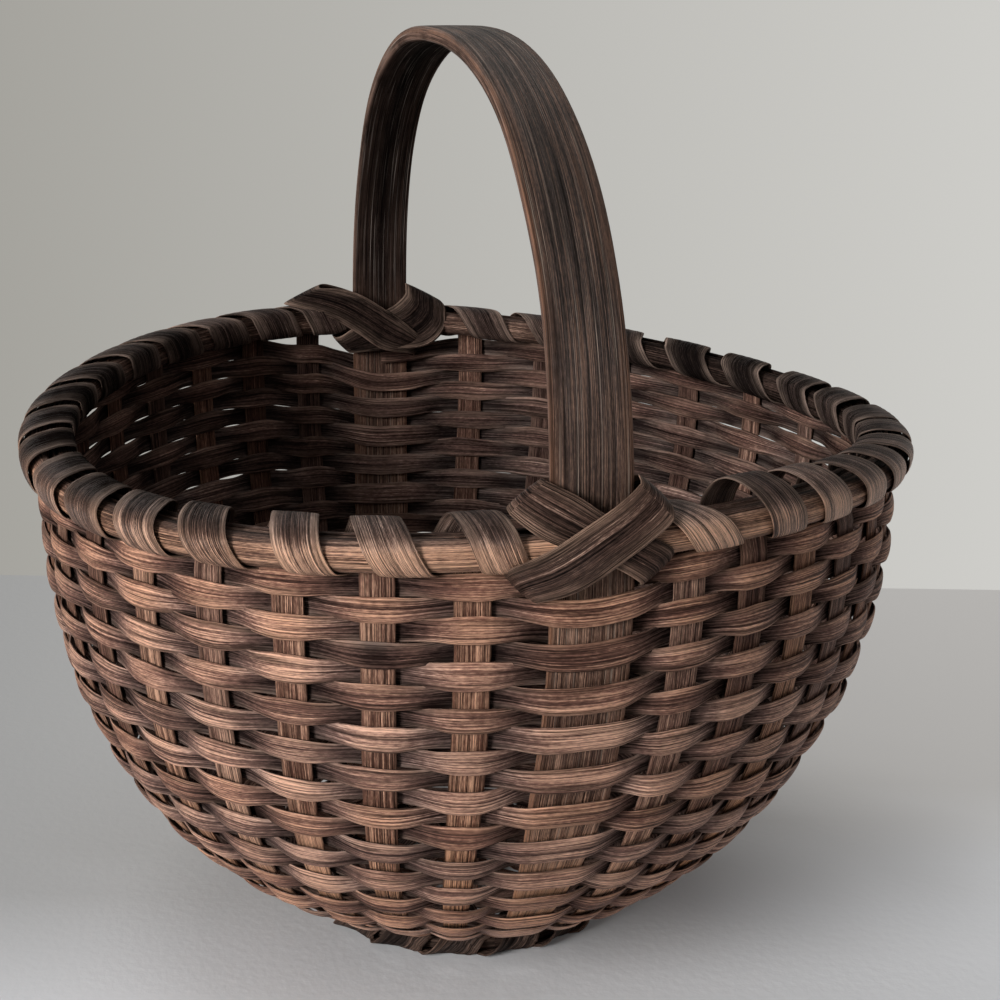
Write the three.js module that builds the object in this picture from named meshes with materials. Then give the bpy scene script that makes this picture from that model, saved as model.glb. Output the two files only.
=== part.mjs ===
// A round gathering basket of woven wood splint, with a fixed bent handle. Millimetres, +Z up.
// +X points to one foot of the handle, and the basket stands on z = 0.
import * as THREE from 'three';

// Form of the whole basket
const rimLength = 356; // over the outer hoop, in the handle's plane
const rimWidth = 304; // over the outer hoop, across the handle
const rimHeight = 189; // floor to the top of the hoops, taken all round
const rimSaddle = 5.4; // how far the rim rises at two sides and dips between them
const rimSaddleTurn = 0.32; // radians from +X to the rim's first high side
const baseHeight = 7.5; // floor to the middle of the base's woven surface
const baseFullness = 0.92; // below 1 the bowl is fuller than an ellipse
const bellyDrop = 15; // from the top of the hoops down to the widest part
const rimDrawIn = 2.4; // how far the wall comes in from the belly to the rim
const bowlLean = 7; // the hand-made bowl bellies out to -Y halfway down
const footShift = 6; // and its base sits this far to +Y
const roundShare = 0.36; // the base is round out to this share of the wall's radius
const ovalShare = 0.6; // and the wall has its full oval from here

// Splints
const stakeThickness = 1.2;
const stakeWidth = 10.5; // on the wall
const hubWidth = 4.2; // where the spokes cross
const hubLayer = 1.65; // from one crossing spoke to the next
const hubOrder = [0, 4, 2, 6, 1, 5, 3, 7]; // each spoke's layer: neighbours lie at least two layers apart
const hubRaise = 1.5; // layers: the pile sits this much above the base's own surface
const weaverStartWidth = 4.6; // in the middle of the base
const weaverGrowth = 100; // from the first row out to where the weaver has its full width
const weaverFill = 0.91; // the share of the pitch under the rim that the weaver's width takes
const weaverThickness = 1;
const baseStart = 25; // from the middle of the base to the first row
const basePitch = 8; // from row to row in the base
const baseRoundCount = 6; // rounds of the weaver in the base
const wallRoundCount = 24.55; // and on the wall: it ends behind the handle's far foot
const lowToTop = 1.32; // rows stand this much further apart above the foot than under the rim
const bendSlack = 0.1; // more room where a weaver lies in the hollow of a stake's bend
const roundsPerWeaver = 2;
const shortestWeaver = 0.5; // rounds: a shorter rest is woven with the weaver before it
const gap = 0.35; // between splints that touch

// How the stakes stand round the rim
const rightStakes = 15; // between the two feet of the handle, on the +Y side
const leftStakes = 16;
const crowding = 0.13; // the +Y stakes stand closer near +X
const crowdingBow = 0.1;
const tailRoom = 0.25; // a tail takes this share of a space more than a stake

// Rim
const hoopThickness = 6.2;
const hoopHeight = 9.4;
const hoopShoulder = 0.5; // the half-round section's corner, as shares of its thickness
const hoopShoulderHeight = 0.95; // and of half its height
const lashingWidth = 12.5;
const lashingThickness = 0.9;
const lashingNeck = 10.4; // the lashing is gathered to this where it goes through the wall
const lashingSlot = 2.4; // free height for it under the hoops
const twistRoom = 0.25; // more room under splints that lie aslant
const fillerHeight = 7.6;

// Handle
const handleTop = 320; // floor to the outside of the crown
const handleWidth = 22.4;
const handleThickness = 5.3;
const handleEase = 1.3; // eased edges along the outside
const handleFullness = 0.85; // below 1 the arch is squarer than an ellipse
const archSteps = 24;
const shoulderSteps = 4; // over these it grows from the tails' section to its own
const tailWidth = 24; // where the tails enter the rim
const tailThickness = 3.2;
const tailEndWidth = 6;
const tailEndThickness = 1.6;
const taperFrom = 190; // from here down to their ends the tails and stakes grow narrower

// Foot
const footRadius = 50; // mean radius of the foot ring
const footRingThickness = 6;
const footLashingWidth = 9.5;
const footLashingThickness = 0.9;
const footLashingNeck = 4.8; // gathered where it goes through the base

const rowsPerBend = 4; // the stakes bend once in this many rows
const stakeCount = rightStakes + leftStakes + 2;
const rimSpace = tailThickness + 2 * gap;
const wallX = rimLength / 2 - hoopThickness - rimSpace / 2 + rimDrawIn;
const wallY = rimWidth / 2 - hoopThickness - rimSpace / 2 + rimDrawIn;
const up = new THREE.Vector3(0, 0, 1);

const basket = new THREE.Group();
basket.name = 'gathering_basket';

const handleWood = { color: 0x3a302b, roughness: 0.6, metalness: 0 };
const stakeWood = { color: 0x6a5142, roughness: 0.75, metalness: 0 };
const weaverWood = { color: 0x75594a, roughness: 0.72, metalness: 0 };
const hoopWood = { color: 0x5f4a3d, roughness: 0.7, metalness: 0 };
const lashingWood = { color: 0x4d3e36, roughness: 0.6, metalness: 0 };
const footWood = { color: 0x3b322e, roughness: 0.7, metalness: 0 };

// Builds one closed solid from a run of sections, each a ring of points in the same order.
function sweep(sections, isLoop = false) {
  const sides = sections[0].length;
  const count = sections.length;
  const positions = sections.flat().flatMap((point) => point.toArray());
  const faces = [];
  const spans = isLoop ? count : count - 1;
  for (let i = 0; i < spans; i++) {
    const here = i * sides;
    const next = ((i + 1) % count) * sides;
    for (let j = 0; j < sides; j++) {
      const k = (j + 1) % sides;
      faces.push([here + j, here + k, next + k], [here + j, next + k, next + j]);
    }
  }
  if (!isLoop) {
    const last = (count - 1) * sides;
    for (let j = 1; j < sides - 1; j++) {
      faces.push([0, j + 1, j], [last, last + j, last + j + 1]);
    }
  }
  const geometry = new THREE.BufferGeometry();
  geometry.setAttribute('position', new THREE.Float32BufferAttribute(positions, 3));
  if (signedVolume(positions, faces) < 0) faces.forEach((face) => face.reverse());
  geometry.setIndex(faces.flat());
  geometry.computeVertexNormals();
  return geometry;
}

function signedVolume(positions, faces) {
  const corner = (i) => new THREE.Vector3().fromArray(positions, i * 3);
  return faces.reduce((sum, [a, b, c]) => sum + corner(a).dot(corner(b).cross(corner(c))) / 6, 0);
}

// A flat splint's section: `across` its width and `out` through its thickness.
function splintSection(centre, across, out, width, thickness) {
  return [[-1, -1], [1, -1], [1, 1], [-1, 1]].map(([a, b]) =>
    place(centre, across, out, (a * width) / 2, (b * thickness) / 2));
}

function place(centre, across, out, a, b) {
  return centre.clone().addScaledVector(across, a).addScaledVector(out, b);
}

function addPiece(name, geometry, wood) {
  const mesh = new THREE.Mesh(geometry, new THREE.MeshStandardMaterial(wood));
  mesh.name = name;
  basket.add(mesh);
}

const lerp = THREE.MathUtils.lerp;
const clamp01 = (value) => THREE.MathUtils.clamp(value, 0, 1);

// The bowl's outline, from the middle of the base out and up to the rim: share of the wall's radius, height
// and the distance along it.
const outline = makeOutline();
const wallLength = outline[outline.length - 1].along;
const rimAlong = wallLength - hoopHeight / 2;

function makeOutline() {
  const meanRadius = (wallX + wallY) / 2;
  const belly = rimHeight - bellyDrop;
  const points = [];
  const steps = 160;
  for (let i = 0; i <= steps; i++) {
    const angle = (i / steps) * Math.PI / 2;
    const share = Math.sin(angle) ** baseFullness;
    const height = baseHeight + (belly - baseHeight) * (1 - Math.cos(angle) ** baseFullness);
    points.push({ share, height });
  }
  for (let i = 1; i <= 6; i++) {
    const t = i / 6;
    points.push({ share: 1 - (rimDrawIn / meanRadius) * t * t, height: belly + bellyDrop * t });
  }
  points[0].along = 0;
  for (let i = 1; i < points.length; i++) {
    const wide = (points[i].share - points[i - 1].share) * meanRadius;
    points[i].along = points[i - 1].along + Math.hypot(wide, points[i].height - points[i - 1].height);
  }
  return points;
}

// The outline at one distance, from a list of points in order.
function outlineAt(points, along) {
  let i = 1;
  while (i < points.length - 1 && points[i].along < along) i++;
  const from = points[i - 1];
  const to = points[i];
  const t = (along - from.along) / (to.along - from.along);
  return { share: lerp(from.share, to.share, t), height: lerp(from.height, to.height, t) };
}

const rowsTop = rimAlong - hoopHeight / 2 - lashingSlot;
const wallStart = baseStart + basePitch * baseRoundCount;
const topPitch = 2 * (rowsTop - wallStart) / (wallRoundCount * (1 + lowToTop) + weaverFill);
const lowPitch = lowToTop * topPitch;
const weaverWidth = weaverFill * topPitch; // on the wall
const bendLength = rowsPerBend * (lowPitch + topPitch) / 2;
const footAlong = outline.find((point) => point.share * (wallX + wallY) / 2 >= footRadius).along;
const bends = makeBends();
const wallBends = bends.slice(1, -1);
const bendRoom = 1; // a splint that begins this near a bend leaves that bend out

function makeBends() {
  const first = baseStart - basePitch / 2 - weaverStartWidth / 2;
  const runs = Math.round((rowsTop - first) / bendLength);
  const list = [0];
  for (let i = 0; i <= runs; i++) list.push(lerp(first, rowsTop, i / runs));
  list.push(wallLength);
  return list.map((along) => ({ along, ...outlineAt(outline, along) }));
}

// A point of the woven surface's middle. `turn` is the angle round the basket from +X.
// The base is round and the wall is oval.
function outlinePoint(turn, { share, height }) {
  const oval = clamp01((share - roundShare) / (ovalShare - roundShare));
  const mean = (wallX + wallY) / 2;
  const half = (wallX - wallY) / 2;
  const deep = 1 - share;
  const lean = footShift * deep - (bowlLean + footShift / 2) * 4 * deep * (1 - deep) * share;
  const lift = rimSaddle * Math.cos(2 * (turn - rimSaddleTurn)) * (height / rimHeight) ** 2;
  return new THREE.Vector3(
    share * (mean + half * oval) * Math.cos(turn),
    share * (mean - half * oval) * Math.sin(turn) + lean,
    height + lift,
  );
}

// The same point for splints, which are straight from bend to bend.
function wallPoint(turn, along) {
  let i = 1;
  while (i < bends.length - 1 && bends[i].along < along) i++;
  const from = bends[i - 1];
  const to = bends[i];
  const share = (along - from.along) / (to.along - from.along);
  return outlinePoint(turn, from).lerp(outlinePoint(turn, to), share);
}

// The surface's own directions at a point: up the wall, round the basket and outward.
function wallFrame(turn, along) {
  const reach = weaverWidth / 2;
  const low = Math.max(along - reach, 1);
  const high = Math.min(along + reach, wallLength);
  const upward = wallPoint(turn, high).sub(wallPoint(turn, low)).normalize();
  const round = wallPoint(turn + 0.01, along).sub(wallPoint(turn - 0.01, along)).normalize();
  const out = round.clone().cross(upward).normalize();
  round.crossVectors(upward, out).normalize();
  return { upward, round, out };
}

// Stakes

function evenTurn(i, count) {
  return Math.PI * (i + tailRoom) / (count + 1 + 2 * tailRoom);
}

// Angles of all 33 stakes in order round the basket: the handle's +X tail comes first.
function stakeTurns() {
  const turns = [0];
  for (let i = 1; i <= rightStakes; i++) {
    const even = evenTurn(i, rightStakes);
    turns.push(even - crowding * Math.sin(even) - crowdingBow * Math.sin(even) ** 2);
  }
  turns.push(Math.PI);
  for (let i = 1; i <= leftStakes; i++) turns.push(Math.PI + evenTurn(i, leftStakes));
  return turns;
}

const turns = stakeTurns();
const farTail = rightStakes + 1;
const isTail = (i) => i === 0 || i === farTail;
const turnOf = (i) => turns[i % stakeCount] + 2 * Math.PI * Math.floor(i / stakeCount);
const halfTurn = (i) => (isTail(i % stakeCount) ? tailWidth : stakeWidth) / (2 * wallY);

// The middle of the free space between one stake and the next.
const gapTurn = (i) => (turnOf(i) + halfTurn(i) + turnOf(i + 1) - halfTurn(i + 1)) / 2;

// Spokes run right across: the odd stakes on the +Y side, each with the stake that stands opposite.
function spokePairs() {
  const pairs = [];
  for (let i = 1; i <= rightStakes; i += 2) {
    const fromFarTail = i < (rightStakes + 1) / 2 ? i : i + 1;
    pairs.push([i, farTail + fromFarTail]);
  }
  return pairs;
}

const spokes = spokePairs();
// This one starts with the spokes and makes their number odd.
const splitStake = farTail + Math.floor(leftStakes / 2) + 1;
const startsInBase = (i) => i === splitStake || spokes.some((pair) => pair.includes(i));
const baseArms = turns.map((_, i) => i).filter(startsInBase);

// The split stake starts midway between its two neighbours in the base and bends over to its own place.
function stakeTurn(i, along) {
  if (i !== splitStake) return turns[i];
  const arm = baseArms.indexOf(i);
  const middle = (turns[baseArms[arm - 1]] + turns[baseArms[arm + 1]]) / 2;
  const from = bends[2].along;
  return lerp(middle, turns[i], clamp01((along - from) / (bends[3].along - from)));
}

function stakeWidthAt(along) {
  const t = clamp01((along - baseStart) / (taperFrom - baseStart));
  return lerp(hubWidth, stakeWidth, t);
}

function tailWidthAt(along) {
  return lerp(tailEndWidth, tailWidth, clamp01((along - addedStart) / (taperFrom - addedStart)));
}

function tailThicknessAt(along) {
  return lerp(tailEndThickness, tailThickness, clamp01((along - addedStart) / (rimAlong - addedStart)));
}

// Weaver's path: rows count up from the first round in the base.

const addedStart = wallStart - basePitch / 2;

function rowAlong(rounds) {
  const wall = Math.max(0, rounds - baseRoundCount);
  const base = Math.min(rounds, baseRoundCount);
  const closing = (lowPitch - topPitch) / (2 * wallRoundCount);
  return baseStart + basePitch * base + lowPitch * wall - closing * wall * wall;
}

function pitchAt(along) {
  const closing = (lowPitch ** 2 - topPitch ** 2) / (rowsTop - weaverWidth / 2 - wallStart);
  return Math.sqrt(lowPitch ** 2 - closing * Math.max(0, along - wallStart));
}

function addedStakeStart(turn) {
  const lastBaseRow = rowAlong(baseRoundCount - 1 + turn / (2 * Math.PI));
  return lastBaseRow + weaverWidth / 2 + gap;
}

// Every crossing of the one long spiral, as the points where the weaver lies on a stake.
function spiralPoints() {
  const points = [];
  let side = 1;
  for (let round = 0; round < baseRoundCount + Math.ceil(wallRoundCount); round++) {
    const inBase = round < baseRoundCount;
    const arms = inBase ? baseArms : turns.map((_, i) => i);
    for (const i of arms) {
      const rounds = turns[i] / (2 * Math.PI) + round;
      const along = rowAlong(rounds);
      if (rounds > baseRoundCount + wallRoundCount) return points;
      const turn = stakeTurn(i, along);
      const wide = isTail(i) && !inBase;
      const half = (wide ? tailWidthAt(along) : stakeWidthAt(along)) / 2 + gap;
      const thick = wide && side < 0 ? tailThicknessAt(along) : stakeThickness / 2;
      const inset = wide && side < 0 ? stakeThickness / 2 : 0;
      const rise = thick - inset + weaverThickness / 2 + gap + (side < 0 ? bendSlack : 0);
      for (const spot of wide ? [-half, half] : [0]) {
        points.push({ turn, rounds, along, spot, side, rise, half: wide ? 0 : half });
      }
      side = -side;
    }
  }
  return points;
}

// Lifts each point off its stake until the straight runs to its neighbours clear the stake's edges.
function settle(points) {
  for (const point of points) {
    point.frame = wallFrame(point.turn, point.along);
    point.at = wallPoint(point.turn, point.along).addScaledVector(point.frame.round, point.spot);
    point.lift = point.rise;
  }
  for (let pass = 0; pass < 20; pass++) {
    points.forEach((point, i) => {
      for (const other of [points[i - 1], points[i + 1]]) {
        if (other) point.lift = Math.max(point.lift, neededLift(point, other));
      }
    });
  }
}

function neededLift(point, other) {
  const offset = other.at.clone().sub(point.at);
  const near = point.half / offset.length();
  const fall = -offset.dot(point.frame.out);
  return (point.rise + near * (point.side * fall - point.side * other.side * other.lift)) / (1 - near);
}

function weaverSection({ at, along, frame, side, lift }, shift) {
  const centre = place(at, frame.round, frame.out, shift, side * lift);
  return splintSection(centre, frame.upward, frame.out, weaverWidthAt(along), weaverThickness);
}

// Weavers fill their rows, so the lower rows have the wider splints.
function weaverWidthAt(along) {
  const full = weaverFill * pitchAt(along);
  return lerp(weaverStartWidth, full, clamp01((along - baseStart) / weaverGrowth) ** 2);
}

function addWeavers(points) {
  let number = 1;
  let start = 0;
  while (start < points.length - 1) {
    const end = weaverEnd(points, start);
    const sections = [];
    for (let i = start; i <= end; i++) {
      const startsHere = i === start && start > 0;
      const endsHere = i === end && end < points.length - 1;
      sections.push(weaverSection(points[i], startsHere ? gap : endsHere ? -gap : 0));
    }
    addPiece(`weaver_${String(number).padStart(2, '0')}`, sweep(sections), weaverWood);
    number++;
    start = end;
  }
}

// A weaver ends behind a stake, where the next one begins.
function weaverEnd(points, start) {
  const goal = points[start].rounds + (start === 0 ? baseRoundCount : roundsPerWeaver);
  const last = points.length - 1;
  const end = points.findIndex((point) => point.rounds >= goal && point.side < 0 && point.half > 0);
  return end < 0 || points[last].rounds - points[end].rounds < shortestWeaver ? last : end;
}

// Stakes and spokes

function stakeSection(i, along) {
  const turn = stakeTurn(i, along);
  const { round, out } = wallFrame(turn, along);
  return splintSection(wallPoint(turn, along), round, out, stakeWidthAt(along), stakeThickness);
}

function stakeTopSection(i, height) {
  const { round, out } = rimFrame(rimSpot(i));
  const centre = place(rimPoint(rimSpot(i)), out, up, topLean, height);
  return splintSection(centre, round, out, stakeWidth, stakeThickness);
}

// Stakes lie this far out from the middle between the hoops, so the filler fits behind them.
const topLean = rimSpace / 2 - gap - stakeThickness / 2;

// From the outer end of the hub up to the rim.
function armSections(i, from) {
  const stops = bendsAfter(from).map((along) => stakeSection(i, along));
  return [...stops, stakeTopSection(i, -hoopHeight / 2), stakeTopSection(i, hoopHeight / 2 - gap)];
}

// Where a splint has its sections on the wall: its own inner end, if it has one, and the bends beyond it.
function bendsAfter(from) {
  if (from === null) return wallBends.map(({ along }) => along);
  return [from, ...wallBends.map(({ along }) => along).filter((along) => along > from + bendRoom)];
}

// Spokes cross in layers.
function addSpokes() {
  spokes.forEach(([right, left], i) => {
    const layer = hubOrder[i % hubOrder.length] - (hubOrder.length - 1) / 2;
    const rise = (layer + hubRaise) * hubLayer;
    const rightArm = armSections(right, null);
    const leftArm = armSections(left, null);
    const sections = [...rightArm.reverse(), ...hubSections(right, left, rise), ...leftArm.map(turnRound)];
    addPiece(`spoke_${i + 1}`, sweep(sections), stakeWood);
  });
}

// The far arm's sections are seen from the other side.
function turnRound([a, b, c, d]) {
  return [b, a, d, c];
}

function hubSections(right, left, rise) {
  const from = wallPoint(turns[right], bends[1].along);
  const to = wallPoint(turns[left], bends[1].along);
  const course = to.clone().sub(from).setZ(0).normalize();
  const across = new THREE.Vector3(course.y, -course.x, 0);
  const middle = from.clone().add(to).multiplyScalar(0.5);
  const reach = hubWidth * 1.7;
  return [[-reach, 0.92], [-reach / 2, 1], [reach / 2, 1], [reach, 0.92]].map(([step, share]) => {
    const centre = middle.clone().addScaledVector(course, step).addScaledVector(up, rise * share);
    return splintSection(centre, across, up.clone().negate(), hubWidth, stakeThickness);
  });
}

function addAddedStakes() {
  let number = 1;
  turns.forEach((turn, i) => {
    if (isTail(i) || spokes.some((pair) => pair.includes(i))) return;
    const from = i === splitStake ? baseStart - weaverWidth / 2 : addedStakeStart(turn);
    addPiece(`added_stake_${String(number).padStart(2, '0')}`, sweep(armSections(i, from)), stakeWood);
    number++;
  });
}

// Handle

function handleSection(centre, across, out, width, thickness) {
  const w = width / 2;
  const t = thickness / 2;
  const ease = Math.min(handleEase, thickness / 3);
  const corners = [[-w, -t], [w, -t], [w, t - ease], [w - ease, t], [ease - w, t], [-w, t - ease]];
  return corners.map(([a, b]) => place(centre, across, out, a, b));
}

function tailSections(i) {
  const turn = turns[i];
  const sections = [];
  for (const along of bendsAfter(addedStakeStart(turn))) {
    const { round, out } = wallFrame(turn, along);
    const thickness = tailThicknessAt(along);
    const centre = wallPoint(turn, along).addScaledVector(out, (stakeThickness - thickness) / 2);
    sections.push(handleSection(centre, round, out, tailWidthAt(along), thickness));
  }
  for (const height of [-hoopHeight / 2, hoopHeight / 2]) {
    const { round, out } = rimFrame(rimSpot(i));
    const centre = rimPoint(rimSpot(i)).addScaledVector(up, height);
    sections.push(handleSection(centre, round, out, tailWidth, tailThickness));
  }
  return sections;
}

function archSections() {
  const near = rimPoint(rimSpot(0)).addScaledVector(up, hoopHeight / 2);
  const far = rimPoint(rimSpot(farTail)).addScaledVector(up, hoopHeight / 2);
  const point = (t) => {
    const angle = Math.PI * t;
    const across = Math.sign(Math.cos(angle)) * Math.abs(Math.cos(angle)) ** handleFullness;
    const foot = lerp(near.z, far.z, (1 - across) / 2);
    const middle = near.clone().add(far).multiplyScalar(0.5);
    const reach = near.clone().sub(far).multiplyScalar(0.5 * across);
    const crown = handleTop - handleThickness / 2;
    const height = foot + (crown - foot) * Math.sin(angle) ** handleFullness;
    return middle.add(reach).setZ(height);
  };
  const sections = [];
  for (let i = 1; i < archSteps; i++) {
    const t = i / archSteps;
    const course = point(t + 0.004).sub(point(t - 0.004)).normalize();
    const across = new THREE.Vector3(0, 1, 0).addScaledVector(course, -course.y).normalize();
    const out = across.clone().cross(course).negate();
    if (out.dot(point(t).sub(new THREE.Vector3(0, 0, rimHeight))) < 0) out.negate();
    const fromFoot = Math.min(1, Math.min(i, archSteps - i) / shoulderSteps);
    const width = lerp(tailWidth, handleWidth, fromFoot);
    const thickness = lerp(tailThickness, handleThickness, fromFoot);
    sections.push(handleSection(point(t), across, out, width, thickness));
  }
  return sections;
}

// The far tail's sections are seen from the other side.
function mirrorHandle([a, b, c, d, e, f]) {
  return [b, a, f, e, d, c];
}

function addHandle() {
  const farSections = tailSections(farTail).reverse().map(mirrorHandle);
  addPiece('handle', sweep([...tailSections(0), ...archSections(), ...farSections]), handleWood);
}

// Rim: hoops have a corner at the middle of each gap, so each stake lies on a straight side.

const rimCorners = turns.map((_, i) => {
  const corner = wallPoint(gapTurn(i), rimAlong);
  const spread = 1 / Math.cos((turnOf(i + 1) - turnOf(i)) / 2);
  corner.multiply(new THREE.Vector3(spread, spread, 1));
  return corner.addScaledVector(wallFrame(gapTurn(i), rimAlong).out.setZ(0).normalize(), -topLean);
});

// A point of the hoops' middle line, `t` of the way round: whole numbers are the middles of the gaps.
function rimPoint(t) {
  const whole = Math.floor(t);
  const from = rimCorners[((whole % stakeCount) + stakeCount) % stakeCount];
  const to = rimCorners[(((whole + 1) % stakeCount) + stakeCount) % stakeCount];
  return from.clone().lerp(to, t - whole);
}

// Where a stake stands on its straight side of the hoops.
function rimSpot(i) {
  const before = gapTurn(i - 1 + stakeCount) - 2 * Math.PI;
  return i - 1 + (turns[i] - before) / (gapTurn(i) - before);
}

function rimFrame(t) {
  const round = rimPoint(t + 0.05).sub(rimPoint(t - 0.05)).normalize();
  const out = round.clone().cross(up).normalize();
  return { round, out };
}

function rimSection(t, corners) {
  const centre = rimPoint(t);
  const { out } = rimFrame(t);
  return corners.map(([a, b]) => place(centre, out, up, a, b));
}

// Half-round outside and flat towards the stakes.
function hoopCorners(inner, side) {
  const h = hoopHeight / 2;
  const high = hoopShoulderHeight * h;
  const shape = [[0, -h], [hoopShoulder, -high], [1, 0], [hoopShoulder, high], [0, h]];
  return shape.map(([a, b]) => [side * (inner + a * hoopThickness), b]);
}

function addHoops() {
  for (const [name, side] of [['outer_hoop', 1], ['inner_hoop', -1]]) {
    const sections = turns.map((_, i) => rimSection(i, hoopCorners(rimSpace / 2, side)));
    addPiece(name, sweep(sections, true), hoopWood);
  }
}

// The packing between the hoops stops at the handle.
function addFillers() {
  const outer = topLean - stakeThickness / 2 - gap;
  const inner = gap - rimSpace / 2;
  const top = hoopHeight / 2 - gap;
  const corners = [[inner, top - fillerHeight], [outer, top - fillerHeight], [outer, top], [inner, top]];
  const runs = [['rim_filler_1', 0, farTail - 1], ['rim_filler_2', farTail, stakeCount - 1]];
  for (const [name, first, last] of runs) {
    const sections = [];
    for (let i = first; i <= last; i++) sections.push(rimSection(i, corners));
    addPiece(name, sweep(sections), hoopWood);
  }
}

const shoulderTilt = 1.2; // on a hoop's shoulder a lashing faces more up than out by this much
const lashingClear = gap + twistRoom + lashingThickness / 2;

// Where a lashing can lie round the two hoops, as distance out and height. `lift` takes it over another.
function lashingStops(clear, lift) {
  const cornerSlack = lashingWidth / 2 * Math.tan(Math.PI / stakeCount);
  const reach = rimSpace / 2 + hoopThickness;
  const h = hoopHeight / 2;
  const shoulder = rimSpace / 2 + hoopShoulder * hoopThickness;
  return [
    { out: -shoulder - cornerSlack, height: -h - clear },
    { out: -reach - clear - lift - cornerSlack, height: 0 },
    { out: -shoulder - cornerSlack, height: h + clear },
    { out: shoulder, height: h + clear },
    { out: reach + clear + lift, height: 0 },
    { out: shoulder, height: -h - clear },
  ];
}

function lashingSection(t, stop, width) {
  const { round, out } = rimFrame(t);
  const centre = place(rimPoint(t), out, up, stop.out, stop.height);
  const reach = rimSpace / 2 + hoopThickness;
  const tilt = shoulderTilt * stop.height / (hoopHeight / 2);
  const away = out.clone().multiplyScalar(stop.out / reach).addScaledVector(up, tilt);
  away.addScaledVector(round, -away.dot(round)).normalize();
  return splintSection(centre, round, away, width, lashingThickness);
}

// One wrap to each gap: under the hoops, up the inside, over the top and slanting down the outside.
function addRimLashings() {
  const stops = lashingStops(lashingClear, 0);
  const shares = [0, 0.16, 0.34, 0.66, 0.84, 1];
  const runs = [['rim_lashing_1', 1, farTail - 2], ['rim_lashing_2', farTail + 1, stakeCount - 2]];
  for (const [name, first, last] of runs) {
    const sections = [];
    for (let g = first; g < last; g++) {
      stops.forEach((stop, i) => {
        const width = stop.height < -hoopHeight / 2 ? lashingNeck : lashingWidth;
        sections.push(lashingSection(g + shares[i], stop, width));
      });
    }
    addPiece(name, sweep(sections), lashingWood);
  }
}

// Two closed bindings cross on each foot of the handle. The second lies over the first.
function addHandleLashings() {
  for (const [foot, at] of [['near', 0], ['far', farTail]]) {
    for (const [layer, lean] of [[0, 1], [1, -1]]) {
      const low = lean > 0 ? at : at - 1;
      const high = lean > 0 ? at - 1 : at;
      const stops = lashingStops(lashingClear + twistRoom, layer * 2 * lashingThickness);
      const shares = [0, 0.5, 1, 1, 0.5, 0];
      const path = shares.map((share, i) => {
        const width = share === 0.5 ? lashingWidth : lashingNeck;
        return lashingSection(lerp(low, high, share), stops[i], width);
      });
      addPiece(`handle_lashing_${foot}_${layer + 1}`, sweep(path, true), lashingWood);
    }
  }
}

// Foot

const armCount = baseArms.length;
const armTurn = (i) => stakeTurn(baseArms[i % armCount], footAlong) + 2 * Math.PI * Math.floor(i / armCount);
const openTurn = (i) => (armTurn(i) + armTurn(i + 1)) / 2;

// The angle `t` gaps round the foot from the first gap between spokes.
function footTurn(t) {
  const whole = Math.floor(t);
  return lerp(openTurn(whole), openTurn(whole + 1), t - whole);
}

// A point of the foot, as distance out from the ring's middle line and height above the floor.
function footPoint(t, outward, height) {
  const turn = footTurn(t);
  const round = wallFrame(turn, footAlong).round.setZ(0).normalize();
  const out = round.clone().cross(up);
  return { centre: wallPoint(turn, footAlong).setZ(height).addScaledVector(out, outward), round, out };
}

const ringBottom = footLashingThickness + gap;

function ringTop(points) {
  const inner = footAlong - footRingThickness / 2 - weaverWidth;
  const outer = footAlong + footRingThickness / 2 + weaverWidth;
  const above = points.filter((point) => point.along > inner && point.along < outer && point.side > 0);
  const lift = Math.max(...above.map((point) => point.lift)) + weaverThickness / 2;
  const lowest = Math.min(...turns.map((turn) => wallPoint(turn, footAlong - footRingThickness / 2).z));
  return lowest - lift - gap;
}

function addFootRing(points) {
  const sections = [];
  const half = footRingThickness / 2;
  const top = ringTop(points);
  for (let i = 0; i < 2 * armCount; i++) {
    const corners = [[-half, ringBottom], [half, ringBottom], [half, top], [-half, top]];
    sections.push(corners.map(([outward, height]) => footPoint(i / 2, outward, height).centre));
  }
  addPiece('foot_ring', sweep(sections, true), footWood);
}

// The middle of the slot outside row `k`, in gap `g` between two spokes, where rows run straight.
function slotAt(g, k) {
  const [from, to] = [armTurn(g), armTurn(g + 1)].map((turn) => wallPoint(turn, slotAlong(k, turn)));
  const along = slotAlong(k, openTurn(g));
  const { upward } = wallFrame(openTurn(g), along);
  const round = to.clone().sub(from).normalize();
  const out = round.clone().cross(upward).normalize();
  return { centre: from.add(to).multiplyScalar(0.5), round, out, upward: out.clone().cross(round) };
}

function slotAlong(k, turn) {
  const rounds = k + turn / (2 * Math.PI);
  return (rowAlong(rounds) + rowAlong(rounds + 1)) / 2;
}

// The lashing goes through the nearest slot on each side of the ring that leaves it room.
function slotsBeside(g) {
  const room = footRingThickness / 2 + 2 * gap + 1.5 * footLashingThickness;
  const { centre, out } = footPoint(g, 0, 0);
  const outward = (k) => slotAt(g, k).centre.sub(centre).dot(out);
  let inner = 0;
  while (outward(inner + 1) < -room) inner++;
  let outer = inner + 1;
  while (outward(outer) < room) outer++;
  return { inner, outer };
}

function footLashingSection(t, outward) {
  const { centre, round, out } = footPoint(t, outward, footLashingThickness / 2);
  const away = out.clone().multiplyScalar(Math.sign(outward)).sub(up).normalize();
  return splintSection(centre, round, away, footLashingWidth, footLashingThickness * Math.SQRT2);
}

// Where the lashing goes through the base: straight below the weave, and mitred where it turns over inside.
function slotSection(g, row, lift, facing) {
  const { centre, round, out, upward } = slotAt(g, row);
  centre.addScaledVector(out, lift);
  const away = upward.multiplyScalar(facing);
  if (lift > 0) return splintSection(centre, round, away, footLashingNeck, footLashingThickness);
  away.sub(out).normalize();
  return splintSection(centre, round, away, footLashingNeck, footLashingThickness * Math.SQRT2);
}

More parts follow.
